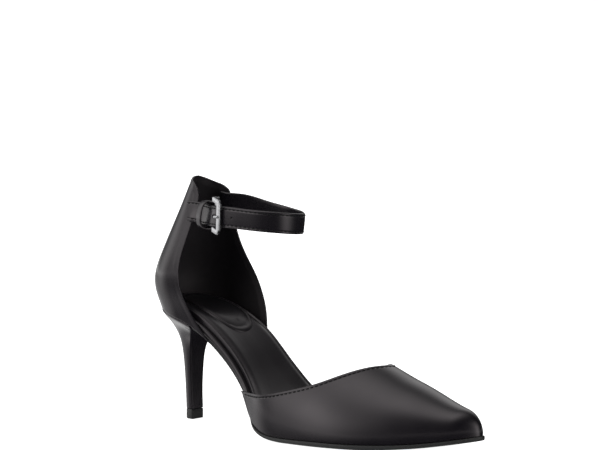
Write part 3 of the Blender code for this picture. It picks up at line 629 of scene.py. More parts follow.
def build_vamp(leather, lining, thread, girths=181, stations=150):
    share = np.linspace(0, 1, girths)[:, None]
    throat = THROAT["station"](share)
    x = throat + (SHOE_LENGTH - throat) * eased(0, 1, stations)[None, :]
    share = share + 0 * x
    outer, normals = vamp_points(x, share), vamp_normals(x, share)
    normals[:, -1] = 1.0, 0.0, 0.0
    top = outer[:, 0].copy()
    outward = unit(top - outer[:, RIM_LOOK])
    away = np.full(x.shape, SHOE_LENGTH)
    away[:, : stations // 2] = distance_to(outer[:, : stations // 2], top)
    inner = outer - thinned(VAMP_WALL - VAMP_TUCK * skive(x), away) * normals
    for part in (inner[0], inner[-1], inner[:, -1]):
        part[:, 2] = feather(part[:, 0], part[:, 1]) + FIT_GAP
    outer -= STITCH_GROOVE_DEPTH * dip(away, VAMP_STITCH_IN, STITCH_GROOVE_WIDTH)[..., None] * normals
    fullness = smooth_step(np.minimum(share, 1 - share)[:, :1] / VAMP_CORNER_SHARE)
    rim = rim_rows(outer[:, 0], inner[:, 0], outward, fullness)
    grids = [(outer, 0, False), (inner, 1, False), (rim, 0, False)]
    grids += [(np.stack([outer[i], inner[i]]), 0, False) for i in (0, -1)]
    piece = add_piece("upper_vamp_leather", grids, (leather, lining))
    stand_for(piece, "upper_vamp")
    along = unit(np.gradient(top, axis=0))
    inward = np.cross(along, normals[:, 0])
    inward *= np.sign(np.sum(inward * -outward, axis=1, keepdims=True))
    seam = top + inward * VAMP_STITCH_IN
    sewn = slice(SEAM_SKIP, -SEAM_SKIP)
    add_stitches("vamp_topline_stitches", [(seam[sewn], normals[sewn, 0])], thread)


def add_stitches(name, seams, thread):
    """Rows of stitches as one piece."""
    grids = []
    for line, normals in seams:
        grids += stitch_grids(line, normals)
    piece = add_piece(name, grids, (thread,))
    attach(piece, "root")


def quarter_at(share, height, count=200):
    """Outer face of the quarter: share -1 lateral front edge, 0 back seam, +1 medial front edge."""
    share, height = np.broadcast_arrays(np.asarray(share, float), np.asarray(height, float))
    back, half, rounding = (QUARTER[k](height) for k in ("back", "half", "round"))
    front = np.where(share < 0, QUARTER["lateral"](height), QUARTER["medial"](height))
    run = (front - back)[..., None] * np.linspace(0, 1, count) ** 2
    wide = half[..., None] * round_off(run / rounding[..., None])
    steps = np.hypot(np.diff(run, axis=-1), np.diff(wide, axis=-1))
    length = np.concatenate([np.zeros(run.shape[:-1] + (1,)), np.cumsum(steps, axis=-1)], axis=-1)
    where = (np.abs(share) * length[..., -1])[..., None]
    at = np.clip(np.sum(length < where, axis=-1, keepdims=True) - 1, 0, count - 2)

    def between(values):
        low, high = (np.take_along_axis(values, at + k, axis=-1)[..., 0] for k in (0, 1))
        first, last = (np.take_along_axis(length, at + k, axis=-1)[..., 0] for k in (0, 1))
        return low + (high - low) * (where[..., 0] - first) / np.maximum(last - first, TINY)

    return np.stack([back + between(run), np.where(share < 0, -1, 1) * between(wide), height], axis=-1)


def quarter_foot(share, rounds=8):
    """Height of the quarter's lower edge, where it stands on the seat."""
    height = np.full(np.shape(share), SEAT_GUESS)
    for _ in range(rounds):
        point = quarter_at(share, height)
        height = feather(point[..., 0], point[..., 1]) + FIT_GAP
    return height


def quarter_top(share):
    """Height of the top line, rounded where it meets the front edges."""
    corner = 1 - round_off((1 - np.abs(share)) / TOP_CORNER_SHARE)
    across = np.abs(share)
    height = np.where(share < 0, TOPLINE["lateral"](across), TOPLINE["medial"](across))
    return height - TOP_CORNER_FALL * corner


def quarter_frame(share, height):
    """Outward normal of the quarter's face, and the direction up it."""
    reach, rise = QUARTER_SHARE_STEP, QUARTER_HEIGHT_STEP
    s = np.clip(share, reach - 1, 1 - reach)
    along = quarter_at(s + reach, height) - quarter_at(s - reach, height)
    up = unit(quarter_at(s, height + rise) - quarter_at(s, height - rise))
    return unit(np.cross(up, along)), up


def build_quarter(leather, lining, shares=161, rises=110):
    share = crowded(-1, 1, shares)[:, None]
    foot, top = quarter_foot(share), quarter_top(share)
    outer = quarter_at(share, foot + (top - foot) * eased(0, 1, rises)[None, :])
    normals = quarter_frame(share + 0 * outer[..., 2], outer[..., 2])[0]
    normals[:, 0, 2] = 0.0
    normals = unit(normals)
    edge = np.concatenate([outer[0], outer[1:-1, -1], outer[-1, ::-1]])
    away = distance_to(outer, edge)
    inner = outer - thinned(QUARTER_WALL + 0 * away, away) * normals
    inner[:, 0, 2] = feather(inner[:, 0, 0], inner[:, 0, 1]) + FIT_GAP
    fold = FOLD_DEPTH * dip(away, FOLD_IN, FOLD_WIDTH) - FOLD_PUFF * smooth_step((FOLD_IN - away) / FOLD_IN)
    turn = FOOT_TURN * (1 - round_off((outer[..., 2] - foot) / FOOT_TURN))
    outer = outer - (fold + turn)[..., None] * normals
    rim = quarter_rim(outer, inner)
    base = np.stack([outer[:, 0], inner[:, 0]])
    grids = [(outer, 0, False), (inner, 1, False), (rim, 0, False), (base, 0, False)]
    piece = add_piece("upper_quarter_leather", grids, (leather, lining))
    stand_for(piece, "upper_quarter")


def quarter_rim(outer, inner):
    """Rounded rim up one front edge, along the top line and down the other front edge."""
    away = np.zeros(outer.shape)
    away[0] -= unit(outer[RIM_LOOK] - outer[0])
    away[-1] -= unit(outer[-1 - RIM_LOOK] - outer[-1])
    away[:, -1] -= unit(outer[:, -1 - RIM_LOOK] - outer[:, -1])

    def round_the_edge(grid):
        return np.concatenate([grid[0], grid[1:-1, -1], grid[-1, ::-1]])

    return rim_rows(round_the_edge(outer), round_the_edge(inner), round_the_edge(away))


# Bottom


def plate_rings(stations, edge, rim, top, floor, columns, under=9):
    """Rings of a flat-lying piece: up its lateral rim, over the top, down its medial rim, and under."""
    rings = []
    for x in stations:
        sides = {side: [np.array(edge(x, side, inset)) for inset, _ in rim] for side in (-1, 1)}
        ring = [(*p, height(*p)) for p, (_, height) in zip(sides[-1], rim)]
        low, high = sides[-1][-1], sides[1][-1]
        wide = np.linalg.norm(high - low)
        for share in columns:
            p = low + (high - low) * share
            ring.append((*p, top(p[0], p[1], rim[-1][0] + wide * min(share, 1 - share))))
        ring += [(*p, height(*p)) for p, (_, height) in zip(sides[1][::-1], rim[::-1])]
        low, high = sides[1][0], sides[-1][0]
        for share in np.linspace(0, 1, under)[1:-1]:
            p = low + (high - low) * share
            ring.append((*p, floor(*p)))
        rings.append(ring)
    return np.array(rings, float)


def inset_edge(margin):
    """Edge function of a piece that lies inside the last's edge."""
    return lambda x, side, inset: last_edge(x, side, margin + inset)


def share_rim(rows, floor, top):
    """Rim rows from a table of distance in from the edge and share of the height."""

    def level(share):
        return lambda x, y: floor(x, y) + (top(x, y) - floor(x, y)) * share

    return [(inset, level(share)) for inset, share in rows]


def section_rim(section, floor):
    """Rim rows from a table of distance in from the edge and height over the floor."""
    rows = [(0.0, floor)]
    for inset, height in section:
        rows.append((inset, lambda x, y, up=height: floor(x, y) + up))
    return rows


def section_top(section, floor):
    """Top of a padded piece from the same table."""
    insets, heights = np.array(section).T
    return lambda x, y, inset: floor(x, y) + np.interp(inset, insets, heights)


def edge_shares(count=24, crowd=0.6):
    """Shares across a piece, closer together near its two edges, ends left out."""
    return crowded(0, 1, count, crowd)[1:-1]


def build_outsole(rubber):
    def edge(x, side, inset):
        waist = smooth_step((WAIST_END - x) / WAIST_FADE)
        return last_edge(x, side, inset + SOLE_WAIST_INSET * waist - SOLE_WELT * (1 - waist))

    def top(x, y, inset):
        return feather(x, y)

    rim = share_rim(OUTSOLE_RIM, sole_floor, feather)
    breast = HEEL_BREAST + FIT_GAP
    stations = [breast] + [x for x in last_stations() if x > breast + BREAST_CLEAR]
    rings = plate_rings(stations, edge, rim, top, sole_floor, edge_shares())
    piece = add_rings("outsole_rubber", rings, rubber, closed=(0,))
    stand_for(piece, "outsole")


def build_insole(wrap):
    def floor(x, y):
        return feather(x, y) + FIT_GAP

    def top(x, y, inset):
        return insole_top(x, y)

    edge, rim = inset_edge(INSOLE_INSET), share_rim(INSOLE_RIM, floor, insole_top)
    rings = plate_rings(last_stations(), edge, rim, top, floor, edge_shares())
    piece = add_rings("insole_wrap_cover", rings, wrap)
    stand_for(piece, "insole")


def build_sock(cover):
    rim, top = section_rim(SOCK_SECTION[:SOCK_RIM_ROWS], sock_floor), section_top(SOCK_SECTION, sock_floor)
    stations = [x for x in last_stations() if x <= SOCK_END]
    columns = edge_shares(count=36, crowd=0.5)
    rings = plate_rings(stations, inset_edge(SOCK_INSET), rim, top, sock_floor, columns)
    piece = add_rings("sock_cushion", rings, cover, closed=(-1,))
    stand_for(piece, "sock")


def pad_edge(x, side, inset):
    middle, reach = (PAD_BACK + PAD_FRONT) / 2, (PAD_FRONT - PAD_BACK) / 2
    share = np.clip((x - middle) / reach, -1, 1)
    scale = 1 - inset / PAD_HALF
    width = PAD_HALF * scale * (1 - abs(share) ** PAD_POWER) ** (1 / PAD_POWER)
    return np.array([middle + share * reach * scale, PAD_SHIFT + side * width])


def build_pad(cover, stations=90):
    def floor(x, y):
        return sock_floor(x, y) + PAD_LIFT

    rim, top = section_rim(PAD_SECTION[:PAD_RIM_ROWS], floor), section_top(PAD_SECTION, floor)
    columns = edge_shares(count=20, crowd=0.5)
    rings = plate_rings(eased(PAD_BACK, PAD_FRONT, stations), pad_edge, rim, top, floor, columns)
    piece = add_rings("heel_pad_cushion", rings, cover)
    stand_for(piece, "heel_pad")


# Heel


def heel_ring(height, inset=0.0, around=60, corner_steps=6, breast_steps=14):
    """D-shaped ring with rounded breast corners, tilted with the seat near the top."""
    slope, back, breast, half, full = (float(HEEL[k](height)) for k in HEEL_COLUMNS[1:])
    middle = (back + breast) / 2
    back, breast, half = back + inset, breast - inset, half - inset
    front = breast - HEEL_CORNER
    turn = np.linspace(0, math.pi, around)
    x = front - (front - back) * np.abs(np.sin(turn)) ** (2 / full)
    y = -half * signed_power(np.cos(turn), 2 / full)
    bend = np.linspace(math.pi / 2, 0, corner_steps)[1:]
    corner_x, corner_y = front + HEEL_CORNER * np.cos(bend), half - HEEL_CORNER * (1 - np.sin(bend))
    across = np.linspace(1, -1, breast_steps)[1:-1] * (half - HEEL_CORNER)
    x = np.concatenate([x, corner_x, np.full(len(across), breast), corner_x[::-1]])
    y = np.concatenate([y, corner_y, across, -corner_y[::-1]])
    z = height + slope * (feather(x, y) - feather(middle, 0.0))
    return np.stack([x, y, z], axis=1)


def build_heel(cover, levels=90):
    bottom, top = HEEL_ROWS[0][0], HEEL_ROWS[-1][0]
    rings = [heel_ring(bottom, HEEL_FOOT_EDGE)]
    rings += [heel_ring(level) for level in np.linspace(bottom + HEEL_FOOT_EDGE, top - HEEL_LIP, levels)]
    for share in HEEL_LIP_SHARES:
        rings.append(heel_ring(top - HEEL_LIP * (1 - share), HEEL_LIP * (1 - round_off(1 - share))))
    rings[-1][:, 2] = feather(rings[-1][:, 0], rings[-1][:, 1])
    piece = add_rings("heel_cover", rings, cover, closed=(0, -1))
    stand_for(piece, "heel")


def build_heel_tip(rubber):
    foot = heel_ring(HEEL_ROWS[0][0])
    middle = foot.mean(axis=0)
    rings = []
    for level, scale in TIP_RINGS:
        ring = middle + (foot - middle) * scale
        ring[:, 2] = level
        rings.append(ring)
    piece = add_rings("heel_tip_rubber", rings, rubber, closed=(0, -1))
    stand_for(piece, "heel_tip")


# Ankle strap, tab, keeper and buckle


class Place:
    """A point of a band with its directions: along the band, outwards and up."""

    def __init__(self, point, along, rise):
        self.point, self.along = point, unit(along)
        self.up = unit(rise - self.along * np.dot(rise, self.along))
        self.outward = np.cross(self.up, self.along)

    def at(self, run, out, up):
        return self.point + self.along * run + self.outward * out + self.up * up


class Route:
    """Smooth line for a band, with a place at each length along it."""

    def __init__(self, points, ups):
        points, ups = np.array(points), np.array(ups)
        self.knots = running_length(points)
        self.length = self.knots[-1]
        self.line = [natural_cubic(self.knots, points[:, k]) for k in range(3)]
        self.rise = [natural_cubic(self.knots, ups[:, k]) for k in range(3)]

    def place(self, s, step=0.05):
        point = np.array([float(c(s)) for c in self.line])
        along = np.array([float(c(s + step) - c(s - step)) for c in self.line])
        return Place(point, along, np.array([float(c(s)) for c in self.rise]))


def strap_route():
    """From inside the medial quarter, round the instep, to the outside of the lateral quarter."""
    inside = -(QUARTER_WALL + FIT_GAP + STRAP_THICK / 2)
    outside = FIT_GAP + STRAP_THICK + FIT_GAP + STRAP_THICK / 2
    points, ups = [], []

    def add_quarter_point(share, height, offset):
        normal, up = quarter_frame(share, height)
        points.append(quarter_at(share, height) + normal * offset)
        ups.append(up)

    for share, height in ANCHOR_ROWS:
        add_quarter_point(share, height, inside)
    table = np.array(STRAP_ROWS)
    middle = table[:, :2].mean(axis=0)
    for x, y, z, lean in table:
        outward = unit(np.array([x, y]) - middle)
        points.append(np.array([x, y, z]))
        ups.append(unit(np.array([*(outward * lean), 1.0])))
    for share in TAB_SHARES:
        add_quarter_point(share, TAB_HEIGHT, outside)
    return Route(points, ups)


def band_section(corner_steps=6, face_steps=61, back_steps=9):
    """Outline of a folded leather band, outwards and up, grooved along both stitch lines."""
    half, flat = STRAP_WIDTH / 2, STRAP_THICK / 2 - BAND_SINK
    turn = np.linspace(0, math.pi / 2, corner_steps)
    reach = half - BAND_CORNER
    face = np.linspace(-reach, reach, face_steps)
    line = half - STRAP_STITCH_IN
    groove = sum(STITCH_GROOVE_DEPTH * dip(face, side * line, STITCH_GROOVE_WIDTH) for side in (1, -1))
    crown = BAND_CROWN * (1 - (face / half) ** 2)
    outer = np.stack([flat + crown - groove, face], axis=1)
    upper = np.array([flat, half]) - BAND_CORNER * np.stack([1 - np.cos(turn), 1 - np.sin(turn)], axis=1)
    under = upper[::-1] * (-1, 1)
    back = np.stack([np.full(back_steps, -flat), np.linspace(reach, -reach, back_steps)], axis=1)
    low_in, low_out = under[::-1] * (1, -1), upper[::-1] * (1, -1)
    return np.concatenate([outer, upper[1:], under, back[1:], low_in[1:], low_out[:-1]])


def add_band(name, route, lengths, shift, leather, slant=0.0):
    """Band along a stretch of the route, with rounded ends, the last one cut at a slant."""
    section = band_section()
    stops = [(lengths[0] + move, scale) for move, scale in BAND_ENDS]
    stops += [(s, 1.0) for s in lengths[1:-1]]
    stops += [(lengths[-1] - move, scale) for move, scale in BAND_ENDS[::-1]]
    rings = []
    for s, scale in stops:
        place, lean = route.place(s), slanted(s, lengths[-1], slant)
        rings.append([place.at(lean * up, shift + out * scale, up) for out, up in section])
    return add_rings(name, rings, leather, closed=(0, -1))


def slanted(s, end, slant):
    """Slant of a band's cross lines, coming in over its last stretch."""
    return slant * smooth_step(1 - (end - s) / SLANT_REACH)


def band_seams(route, lengths, shift, slant=0.0):
    """Stitch lines along both edges of a band's outer face, with their normals."""
    places = [route.place(s) for s in lengths]
    leans = [slanted(s, lengths[-1], slant) for s in lengths]
    normals = np.array([p.outward for p in places])
    out = shift + STRAP_THICK / 2 - BAND_SINK
    seams = []
    for side in (-1, 1):
        up = side * (STRAP_WIDTH / 2 - STRAP_STITCH_IN)
        seams.append((np.array([p.at(lean * up, out, up) for p, lean in zip(places, leans)]), normals))
    return seams


def build_fastening(leather, nickel, thread):
    route = strap_route()
    last_table_knot = -1 - len(TAB_SHARES)
    buckle_at = route.knots[last_table_knot - 1] - BUCKLE_BACK
    keeper_at = route.knots[last_table_knot] - KEEPER_BACK
    seams = build_strap(route, keeper_at + KEEPER_WIDTH / 2 + STRAP_PAST_KEEPER, buckle_at, leather)
    seams += build_tab(route, buckle_at + BUCKLE_LENGTH / 2 + TAB_EASE, leather)
    add_stitches("strap_stitches", seams, thread)
    build_keeper(route.place(keeper_at), leather)
    build_buckle(route.place(buckle_at), nickel)
    build_prong(route.place(buckle_at), nickel)


def build_strap(route, free_end, buckle_at, leather, steps=260, seam_steps=240):
    """Strap with a slot for the prong and one spare hole; gives its stitch lines."""
    strap = add_band("ankle_strap_band", route, np.linspace(0.0, free_end, steps), 0.0, leather)
    stand_for(strap, "ankle_strap")
    punch(strap, slot_rings(route.place(buckle_at + SLOT_SHIFT), SLOT_LENGTH / 2, SLOT_HEIGHT / 2))
    hole = route.place(buckle_at - HOLE_BEFORE_BUCKLE)
    punch(strap, slot_rings(hole, HOLE_RADIUS, HOLE_RADIUS))
    return band_seams(route, np.linspace(STRAP_SEAM_START, free_end - SEAM_STOP, seam_steps), 0.0)


def build_tab(route, start, leather, steps=60, seam_steps=50):
    """Tab under the strap, from the buckle to the quarter; gives its stitch lines."""
    shift = -STRAP_THICK - FIT_GAP
    lengths = np.linspace(start, route.length, steps)
    tab = add_band("strap_tab_band", route, lengths, shift, leather, TAB_SLANT)
    stand_for(tab, "strap_tab")
    sewn = np.linspace(start + SEAM_STOP, route.length - TAB_SEAM_STOP, seam_steps)
    return band_seams(route, sewn, shift, TAB_SLANT)


def slot_rings(place, reach, tall, around=24):
    """Two rings of a slot right through the strap."""
    turn = full_turn(around)
    runs, ups = np.sign(np.cos(turn)) * (reach - tall) + tall * np.cos(turn), tall * np.sin(turn)
    through = 2 * STRAP_THICK
    return [[place.at(run, out, up) for run, up in zip(runs, ups)] for out in (-through, through)]


def punch(strap, rings):
    """Cuts a hole through the strap."""
    cutter = add_rings("punch", rings, strap.data.materials[0], closed=(0, -1))
    cut = strap.modifiers.new("punch", "BOOLEAN")
    cut.operation = "DIFFERENCE"
    cut.solver = "EXACT"
    cut.object = cutter
    graph = bpy.context.evaluated_depsgraph_get()
    made = bpy.data.meshes.new_from_object(strap.evaluated_get(graph))
    strap.modifiers.clear()
    strap.data = made
    bpy.data.objects.remove(cutter, do_unlink=True)
    made.set_sharp_from_angle(angle=math.radians(SHARP_ANGLE))


def build_keeper(place, leather, around=96, sides=20):
    """Loop of leather round strap and tab, close to the tab and puffed outwards."""
    bands = STRAP_THICK / 2 + FIT_GAP + STRAP_THICK
    centre = KEEPER_DEPTH / 2 - KEEPER_WALL - KEEPER_EASE - bands
    turn = full_turn(sides)
    runs = KEEPER_WIDTH / 2 * signed_power(np.cos(turn), KEEPER_SIDE_POWER)
    lip = KEEPER_RIM * np.abs(np.cos(turn)) ** KEEPER_RIM_POWER
    depths = KEEPER_WALL / 2 - (KEEPER_WALL / 2 + lip) * signed_power(np.sin(turn), KEEPER_FACE_POWER)
    rings = []
    for angle in np.arange(around + 1) / around * 2 * math.pi:
        power = KEEPER_PUFF if math.cos(angle) > 0 else KEEPER_SQUARE
        out, up = signed_power(math.cos(angle), power), signed_power(math.sin(angle), power)
        ring = [
            place.at(run, centre + (KEEPER_DEPTH / 2 - depth) * out, (KEEPER_HEIGHT / 2 - depth) * up)
            for run, depth in zip(runs, depths)
        ]
        rings.append(ring)
    piece = add_rings("strap_keeper_loop", rings, leather)
    stand_for(piece, "strap_keeper")


def buckle_lean(run):
    """How far the frame stands outside the strap's middle, before its arms dip under at the hinge."""
    clear = STRAP_THICK / 2 + FIT_GAP + BUCKLE_THICK / 2 + BUCKLE_EASE
    half, bar = (BUCKLE_LENGTH - BUCKLE_BAR) / 2, BUCKLE_BAR / 2
    start = half * BUCKLE_DIP
    fall = 2 * clear + HINGE_EASE
    return clear - fall * smooth_step((run - start) / (half - bar - start))


def round_bar(width, thick, around, power):
    """Outline of a softly squared bar, outwards and across."""
    turn = full_turn(around)
    outs = thick / 2 * signed_power(np.cos(turn), power)
    return np.stack([outs, width / 2 * signed_power(np.sin(turn), power)], axis=1)


def grooved_bar():
    """Outline of the buckle's bar, with a groove along its outer side."""
    plain = round_bar(BUCKLE_BAR, BUCKLE_THICK, BAR_AROUND, BAR_SQUARE)
    half, edge = BAR_GROOVE_WIDTH / 2, BUCKLE_BAR / 2
    bed = edge - BAR_GROOVE_DEPTH
    groove = [(half, edge), (half, bed), (-half, bed), (-half, edge)]
    quarter = BAR_AROUND // 4
    return np.concatenate([plain[:quarter], groove, plain[quarter + 1 :]])


def build_buckle(place, nickel, steps=12, arm_steps=24):
    """Rectangular frame with rounded corners and a polished bar, its arms dipping at the hinge."""
    across = (BUCKLE_LENGTH - BUCKLE_BAR) / 2 - BUCKLE_BEND
    tall = (BUCKLE_HEIGHT - BUCKLE_BAR) / 2 - BUCKLE_BEND
    path = []
    for turn, (side, top) in enumerate(((1, 1), (-1, 1), (-1, -1), (1, -1))):
        for angle in math.pi / 2 * (turn + np.linspace(0, 1, steps)):
            path.append((side * across, top * tall, angle))
        if turn in (0, 2):
            for share in np.linspace(1, -1, arm_steps)[1:-1]:
                path.append((share * side * across, top * tall, math.pi / 2 * (turn + 1)))
    path.append(path[0])
    bar = grooved_bar()
    rings = []
    for run_at, up_at, angle in path:
        ring = []
        for out, wide in bar:
            run = run_at + math.cos(angle) * (BUCKLE_BEND + wide)
            up = up_at + math.sin(angle) * (BUCKLE_BEND + wide)
            rise = ARM_RISE * np.clip(run + across, 0.0, across)
            ring.append(place.at(run, buckle_lean(run) + out, up + rise))
        rings.append(ring)
    piece = add_rings("buckle_frame_metal", rings, nickel)
    stand_for(piece, "buckle_frame")


def build_prong(place, nickel, steps=40, sides=20):
    """Pin from the hinge bar, out through the strap's slot, to rest on the front bar."""
    half = (BUCKLE_LENGTH - BUCKLE_BAR) / 2
    clear = buckle_lean(-half)
    rest = BUCKLE_THICK / 2 + FIT_GAP + PRONG_THICK / 2
    stops = [(half - BUCKLE_BAR / 2 - FIT_GAP, buckle_lean(half))]
    stops += [(half * run, clear * out) for run, out in PRONG_ROWS]
    stops.append((-half / 2, PRONG_ARCH * (clear + rest)))
    stops += [(run, clear + rest) for run in (-half, -half - BUCKLE_BAR / 2)]
    line = np.array([(-run, out) for run, out in stops])
    outs = natural_cubic(line[:, 0], line[:, 1])
    shares = eased(0, 1, steps)
    scales = np.minimum(1, round_off((1 - shares) / PRONG_TIP_SHARE) + PRONG_BLUNT)
    rings = []
    for at, scale in zip(line[0, 0] + (line[-1, 0] - line[0, 0]) * shares, scales):
        section = round_bar(PRONG_WIDTH * scale, PRONG_THICK * scale, sides, PRONG_SQUARE)
        rings.append([place.at(-at, float(outs(at)) + out, up) for out, up in section])
    piece = add_rings("buckle_prong_metal", rings, nickel, closed=(0, -1))
    stand_for(piece, "buckle_prong")


# Finishes


def set_inputs(node, values):
    for name, value in values.items():
        node.inputs[name].default_value = value


def shader_of(made):
    return made.node_tree.nodes["Principled BSDF"]


def plain_finish(name, colour, roughness, metallic=0.0):
    made = bpy.data.materials.new(name)
    made.use_nodes = True
    set_inputs(shader_of(made), {"Base Color": colour, "Roughness": roughness, "Metallic": metallic})
    return made


def add_texture(made, kind, scale, **values):
    """Texture node over the piece's own coordinates."""
    nodes, links = made.node_tree.nodes, made.node_tree.links
    place, texture = nodes.new("ShaderNodeTexCoord"), nodes.new(kind)
    links.new(place.outputs["Object"], texture.inputs["Vector"])
    set_inputs(texture, {"Scale": scale, **values})
    return texture


def add_bump(made, texture, output, depth):
    """Surface relief from a texture, on top of any relief that is there."""
    nodes, links = made.node_tree.nodes, made.node_tree.links
    normal, bump = shader_of(made).inputs["Normal"], nodes.new("ShaderNodeBump")
    bump.inputs["Distance"].default_value = depth * MM
    links.new(texture.outputs[output], bump.inputs["Height"])
    for link in list(normal.links):
        links.new(link.from_socket, bump.inputs["Normal"])
    links.new(bump.outputs["Normal"], normal)


def vary_gloss(made, texture):
    """Lets a texture move the roughness a little either way."""
    nodes, links = made.node_tree.nodes, made.node_tree.links
    roughness, spread = shader_of(made).inputs["Roughness"], nodes.new("ShaderNodeMapRange")
    limits = {"From Min": NOISE_LOW, "From Max": NOISE_HIGH}
    limits["To Min"] = roughness.default_value - GLOSS_DRIFT
    limits["To Max"] = roughness.default_value + GLOSS_DRIFT
    set_inputs(spread, limits)
    links.new(texture.outputs["Fac"], spread.inputs["Value"])
    links.new(spread.outputs["Result"], roughness)


def leather_finish(name, colour, roughness, coat=COAT_WEIGHT):
    """Smooth calf: fine grain, a little cloudiness in its gloss, and a thin dressing."""
    made = plain_finish(name, colour, roughness)
    dressing = {"Coat Weight": coat, "Coat Roughness": COAT_ROUGHNESS, "Specular Tint": LEATHER_SHEEN}
    set_inputs(shader_of(made), dressing)
    vary_gloss(made, add_texture(made, "ShaderNodeTexNoise", CLOUD_SCALE, Detail=3.0))
    add_bump(made, add_texture(made, "ShaderNodeTexVoronoi", CELL_SCALE), "Distance", CELL_DEPTH)
    add_bump(made, add_texture(made, "ShaderNodeTexNoise", PORE_SCALE, Detail=2.0), "Fac", PORE_DEPTH)
    return made


def make_finishes():
    made = {
        "leather": leather_finish("black_calf", (0.0058, 0.0051, 0.0068, 1.0), 0.23),
        "lining": leather_finish("black_lining", (0.0035, 0.003, 0.004, 1.0), 0.65, coat=0.0),
        "heel": leather_finish("heel_calf", (0.0058, 0.0051, 0.0068, 1.0), 0.24),
        "wrap": leather_finish("insole_calf", (0.0068, 0.0061, 0.0074, 1.0), 0.34),
        "sock": leather_finish("sock_calf", (0.0078, 0.0071, 0.0088, 1.0), 0.33),
        "thread": plain_finish("black_thread", (0.002, 0.002, 0.002, 1.0), 0.8),
        "nickel": plain_finish("polished_nickel", (0.46, 0.46, 0.47, 1.0), 0.16, metallic=1.0),
        "rubber": plain_finish("black_rubber", (0.013, 0.013, 0.013, 1.0), 0.55),
        "tip": plain_finish("tip_rubber", (0.011, 0.011, 0.011, 1.0), 0.5),
    }
    for key in ("rubber", "tip"):
        fleck = add_texture(made[key], "ShaderNodeTexNoise", FLECK_SCALE, Detail=2.0)
        add_bump(made[key], fleck, "Fac", FLECK_DEPTH)
    twist = add_texture(made["thread"], "ShaderNodeTexNoise", TWIST_SCALE, Detail=1.0)
    add_bump(made["thread"], twist, "Fac", TWIST_DEPTH)
    vary_gloss(made["nickel"], add_texture(made["nickel"], "ShaderNodeTexNoise", HAZE_SCALE, Detail=2.0))
    return made


# Camera, floor and light


def toward(azimuth, elevation):
    """Direction from the shoe: azimuth 0 faces its lateral side, 90 its toe."""
    a, e = math.radians(azimuth), math.radians(elevation)
    return Vector((math.sin(a) * math.cos(e), -math.cos(a) * math.cos(e), math.sin(e)))


def set_camera():
    back = toward(CAMERA_AZIMUTH, CAMERA_ELEVATION)
    facing = back.to_track_quat("Z", "Y").to_matrix().to_4x4()
    tilt, swing, roll = math.atan(-AIM_UP), math.atan(AIM_RIGHT), math.radians(-CAMERA_ROLL)
    for angle, axis in ((tilt, "X"), (swing, "Y"), (roll, "Z")):
        facing = facing @ Matrix.Rotation(angle, 4, axis)
    data = bpy.data.cameras.new("camera")
    data.lens, data.sensor_width, data.sensor_fit = LENS, SENSOR, "HORIZONTAL"
    data.clip_start, data.clip_end = CAMERA_CLIP
    camera = bpy.data.objects.new("camera", data)
    camera.matrix_world = Matrix.Translation(Vector(CAMERA_AIM) + back * CAMERA_DISTANCE) @ facing
    bpy.context.scene.collection.objects.link(camera)
    bpy.context.scene.camera = camera


def add_floor():
    """White paper lit from below, kept out of the shoe's reflections."""
    half = FLOOR_SIZE / 2
    mesh = bpy.data.meshes.new("floor")
    corners = [(-half, -half, 0), (half, -half, 0), (half, half, 0), (-half, half, 0)]
    mesh.from_pydata(corners, [], [(0, 1, 2, 3)])
    paper = plain_finish("floor_paper", FLOOR_COLOUR, FLOOR_ROUGHNESS)
    set_inputs(shader_of(paper), {"Emission Color": WHITE, "Emission Strength": FLOOR_GLOW})
    mesh.materials.append(paper)
    floor = bpy.data.objects.new("floor", mesh)
    floor.visible_glossy = floor.visible_shadow = False
    bpy.context.scene.collection.objects.link(floor)


def fed_math(tree, operation, socket, value):
    """Math node that works on a socket's value and a fixed one."""
    made = tree.nodes.new("ShaderNodeMath")
    made.operation = operation
    made.inputs[1].default_value = value
    tree.links.new(socket, made.inputs[0])
    return made


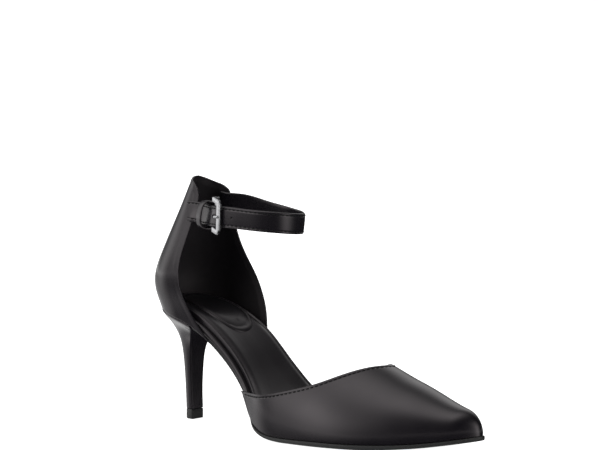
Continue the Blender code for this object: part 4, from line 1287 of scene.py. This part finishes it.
def add_horizon(tree, place):
    """White band where the paper ends; gives the socket that holds its brightness."""
    split, fade = tree.nodes.new("ShaderNodeSeparateXYZ"), tree.nodes.new("ShaderNodeMapRange")
    tree.links.new(place.outputs["Generated"], split.inputs["Vector"])
    height = fed_math(tree, "ABSOLUTE", split.outputs["Z"], 0.0)
    fade.interpolation_type = "SMOOTHSTEP"
    set_inputs(fade, {"From Min": HORIZON_FROM, "From Max": HORIZON_TO})
    set_inputs(fade, {"To Min": HORIZON_LIGHT, "To Max": SKY_LIGHT})
    tree.links.new(height.outputs["Value"], fade.inputs["Value"])
    return fade.outputs["Result"]


def add_patch(tree, place, total, azimuth, elevation, brightness):
    """One soft patch, on top of the brightness that is there."""
    facing = tree.nodes.new("ShaderNodeVectorMath")
    facing.operation = "DOT_PRODUCT"
    facing.inputs[1].default_value = toward(azimuth, elevation)
    tree.links.new(place.outputs["Generated"], facing.inputs[0])
    front = fed_math(tree, "MAXIMUM", facing.outputs["Value"], 0.0)
    soft = fed_math(tree, "POWER", front.outputs["Value"], PATCH_FOCUS)
    added = fed_math(tree, "MULTIPLY_ADD", soft.outputs["Value"], brightness)
    tree.links.new(total, added.inputs[2])
    return added.outputs["Value"]


def add_world():
    """A light tent with soft white patches, which is all the light but the paper's."""
    world = bpy.data.worlds.new("studio")
    world.use_nodes = True
    tree = world.node_tree
    place, background = tree.nodes.new("ShaderNodeTexCoord"), tree.nodes["Background"]
    total = add_horizon(tree, place)
    for patch in PATCHES:
        total = add_patch(tree, place, total, *patch)
    tree.links.new(total, background.inputs["Strength"])
    background.inputs["Color"].default_value = WHITE
    bpy.context.scene.world = world


def main():
    finishes = make_finishes()
    build_outsole(finishes["rubber"])
    build_heel(finishes["heel"])
    build_heel_tip(finishes["tip"])
    build_insole(finishes["wrap"])
    build_sock(finishes["sock"])
    build_pad(finishes["sock"])
    build_vamp(finishes["leather"], finishes["lining"], finishes["thread"])
    build_quarter(finishes["leather"], finishes["lining"])
    build_fastening(finishes["leather"], finishes["nickel"], finishes["thread"])
    set_camera()
    add_floor()
    add_world()
    bpy.context.scene.view_settings.view_transform = "Standard"


main()
